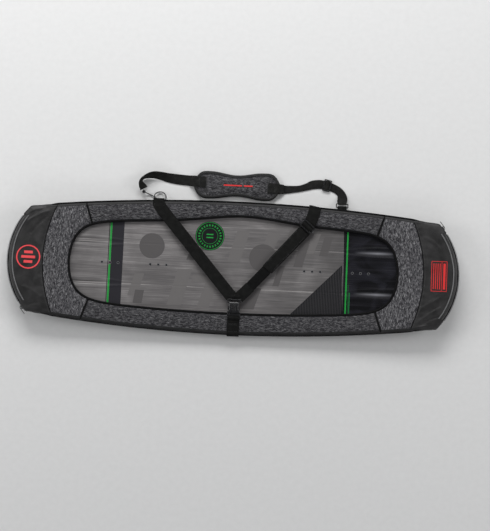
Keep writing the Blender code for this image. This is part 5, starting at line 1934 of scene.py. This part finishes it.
# binding folded round the rim: distance out from it, height
RIM_TAPE = [
    (0.0003, 0.0070), (0.0000, 0.0096), (-0.0016, 0.0112), (-0.0045, 0.0121),
    (-0.0078, 0.0124), (-0.0092, 0.0118), (-0.0090, 0.0098), (-0.0060, 0.0085),
    (-0.0060, 0.0050), (-0.0088, 0.0042), (-0.0090, 0.0028), (-0.0050, 0.0026),
    (-0.0014, 0.0031), (0.0000, 0.0046),
]
tape = np.stack([
    np.c_[RIM + RIM_OUT * out + [0, PAD_Y], z + 0.0002 * ripple(RIM, 0.035)]
    for out, z in RIM_TAPE
], 1)
uvw = strip_uv(lengths(RIM), np.array([out for out, _ in RIM_TAPE]))
loft("pad_rim_tape", tape, PAD_BINDING, uvw, True, 60, "pad", "pad_binding")
stitches("pad_rim_stitch", RIM - RIM_OUT * 0.0074 + [0, PAD_Y], THREAD_GREY,
         lambda points, bow: np.c_[points, 0.01245 + bow], pitch=0.0044, length=0.0028,
         radius=0.0003, closed=True, body="pad")


def pad_end(end, end_name, width):
    """Slot edges, and the webbing from the slot over the pad's end and down to the main run."""
    for k, offset in enumerate((-0.0034, 0.0012)):
        x = end * 0.1000 + offset
        strip = box(x, x + 0.0030, PAD_Y - 0.0235, PAD_Y + 0.0235, 0.003)
        decal(f"pad_slot_{end_name}_{k}", strip, BLACK, on_pad, "pad", 0.0005)
    line = []
    for x in (0.1000, 0.1022, 0.1060, 0.1130, 0.1200, 0.1270, 0.1330, 0.1375, 0.1420, 0.1470,
              0.1500):
        y = carry_y(end * x)
        if x < 0.1335:
            z = float(on_pad([end * x, y])[2]) + 0.0012
            z = max(z, 0.0135) if x > 0.1010 else 0.0110
        else:
            z = float(np.interp(x, [0.1335, 0.1375, 0.1420, 0.1480, 0.1550, 0.18],
                                [0.0136, 0.0116, 0.0072, 0.0040, 0.0031, 0.0030]))
        line.append((end * x, y, z))
    line = spline(line, 60)
    strap(f"pad_end_web_{end_name}", line, level_side(line), width, WEB_LIGHT, "pad", 0.0014,
          crown=0.0001)

    def place(points, bow):
        return np.c_[points, np.maximum(on_pad(points)[:, 2] + 0.0012, 0.0135) + 0.0009 + bow]

    x = end * 0.1205
    seam = [[x, carry_y(x) - 0.0125], [x, carry_y(x) + 0.0125]]
    stitches(f"pad_end_stitch_{end_name}", seam, THREAD_GREY, place, pitch=0.0034,
             length=0.0022, radius=0.0003, body="pad")


pad_end(1, "right", width=0.0310)
pad_end(-1, "left", width=0.0335)

# two dashes along the pad's middle
dashes = [
    box(x0, x1, PAD_Y - 0.0021, PAD_Y + 0.0021, 0.002)
    for x0, x1 in ((-0.042, 0.016), (0.022, 0.050))
]
print_marks("pad_dashes", dashes, RED, 0.0004, on_pad, "pad")

# adjuster on the carry strap
adjuster = placer(
    np.array([0.2870, 0.2788, 0.0026]), np.array([0.9757, -0.2190, 0.0]),
    np.array([0.2190, 0.9757, 0.0]), Z_AXIS,
)
two_slot_bar(
    "adjuster_body", adjuster, (0.0125, 0.0190), 0.0032, (0.0090, 0.0159), "adjuster",
    "strap_adjuster", "adjuster_fold",
    [(-0.0086, -0.0002), (-0.0050, 0.0018), (-0.0025, 0.0038), (0.0, 0.0042)],
    fold_width=0.0308, fold_thick=0.0013, material=WEB_LIGHT,
)


# ------------------------------------------------------------------ marks on the end caps
def cap_mark(end_name, grids, material):
    """Printed marks that lie on the cap and cross its fold."""
    obj = print_marks(f"cap_mark_{end_name}", grids, material, 0.0004, on_cover, None)
    bend_with_flap(obj)


# left: a ring round three bars
mark_x, mark_y = -0.6450, 0.0030
grids = [ring(mark_x, mark_y, 0.0335, 0.0375, step=4)]
for y, half in ((0.0150, 0.0135), (0.0, 0.0215), (-0.0150, 0.0135)):
    grids.append(
        box(mark_x - half, mark_x + half, mark_y + y - 0.0042, mark_y + y + 0.0042, 0.003)
    )
cap_mark("left", grids, CORAL)

# right: a ruled frame with bars inside
x0, x1, y0, y1 = 0.6240, 0.6730, -0.0480, 0.0470
line_w, margin = 0.0016, 0.0070
spans = [
    (x0, x1, y0, y0 + line_w), (x0, x1, y1 - line_w, y1),
    (x0, x0 + line_w, y0, y1), (x1 - line_w, x1, y0, y1), (0.6555, 0.6570, y0, y1),
]
for start, stop in (
    (0.6300, 0.6325), (0.6365, 0.6390), (0.6430, 0.6455), (0.6495, 0.6520), (0.6610, 0.6680),
):
    spans.append((start, stop, y0 + margin, y1 - margin))
cap_mark("right", [box(*span, 0.003) for span in spans], RED)

# ------------------------------------------------------------------ stage, light and camera
FLOOR_HALF, FLOOR_Z = 9, -0.0006
corners = [
    (x * FLOOR_HALF, y * FLOOR_HALF, FLOOR_Z) for x, y in ((-1, -1), (1, -1), (1, 1), (-1, 1))
]
floor = make("floor", corners, [(0, 1, 2, 3)], floor_paper("floor_paper"), smooth=False)


def area_light(name, at, aim, power, size_x, size_y):
    data = bpy.data.lights.new(name, "AREA")
    data.energy = power
    data.size = size_x
    data.shape = "RECTANGLE"
    data.size_y = size_y
    obj = bpy.data.objects.new(name, data)
    bpy.context.scene.collection.objects.link(obj)
    obj.location = at
    obj.rotation_euler = (Vector(aim) - Vector(at)).to_track_quat("-Z", "Y").to_euler()


area_light("light_far", (-0.4, 3.1, 2.1), aim=(0, 0.1, 0), power=112, size_x=3.2, size_y=1.2)
area_light("light_near", (0.5, -3.2, 2.0), aim=(0, 0, 0), power=15, size_x=3.0, size_y=1.0)
area_light("light_left", (-3.3, 0.3, 1.9), aim=(0, 0, 0), power=40, size_x=1.6, size_y=1.6)
area_light("light_right", (3.3, 0.4, 1.9), aim=(0, 0, 0), power=34, size_x=1.6, size_y=1.6)


def studio_world():
    """A cool white surround that dims overhead."""
    world = bpy.data.worlds.new("studio")
    bpy.context.scene.world = world
    world.use_nodes = True
    tree = world.node_tree
    background = tree.nodes["Background"]
    background.inputs["Color"].default_value = (0.95, 0.965, 1.0, 1)
    direction = tree.nodes.new("ShaderNodeSeparateXYZ")
    coords = tree.nodes.new("ShaderNodeTexCoord")
    tree.links.new(coords.outputs["Generated"], direction.inputs[0])
    fade = tree.nodes.new("ShaderNodeMapRange")
    tree.links.new(direction.outputs[2], fade.inputs[0])
    # from this range of upward direction to this range of strength
    for key, value in enumerate((0.45, 0.95, 0.42, 0.05), 1):
        fade.inputs[key].default_value = value
    tree.links.new(fade.outputs[0], background.inputs["Strength"])


studio_world()
bpy.context.scene.view_settings.view_transform = "Standard"

CAMERA_AIM = Vector((0.037, 0.010, 0.02))
CAMERA_DISTANCE = 3.96
CAMERA_ELEVATION = math.radians(85)
CAMERA_ROLL = math.radians(2.6)
camera = bpy.data.objects.new("camera", bpy.data.cameras.new("camera"))
bpy.context.scene.collection.objects.link(camera)
camera.data.lens = 85
camera.data.sensor_fit = "VERTICAL"
camera.data.sensor_height = 36
camera.data.clip_end = 60
backward = Vector((0.0, -math.cos(CAMERA_ELEVATION), math.sin(CAMERA_ELEVATION)))
camera.location = CAMERA_AIM + backward * CAMERA_DISTANCE
look = (CAMERA_AIM - camera.location).to_track_quat("-Z", "Y")
camera.rotation_mode = "QUATERNION"
camera.rotation_quaternion = look @ Quaternion((0, 0, 1), CAMERA_ROLL)
bpy.context.scene.camera = camera
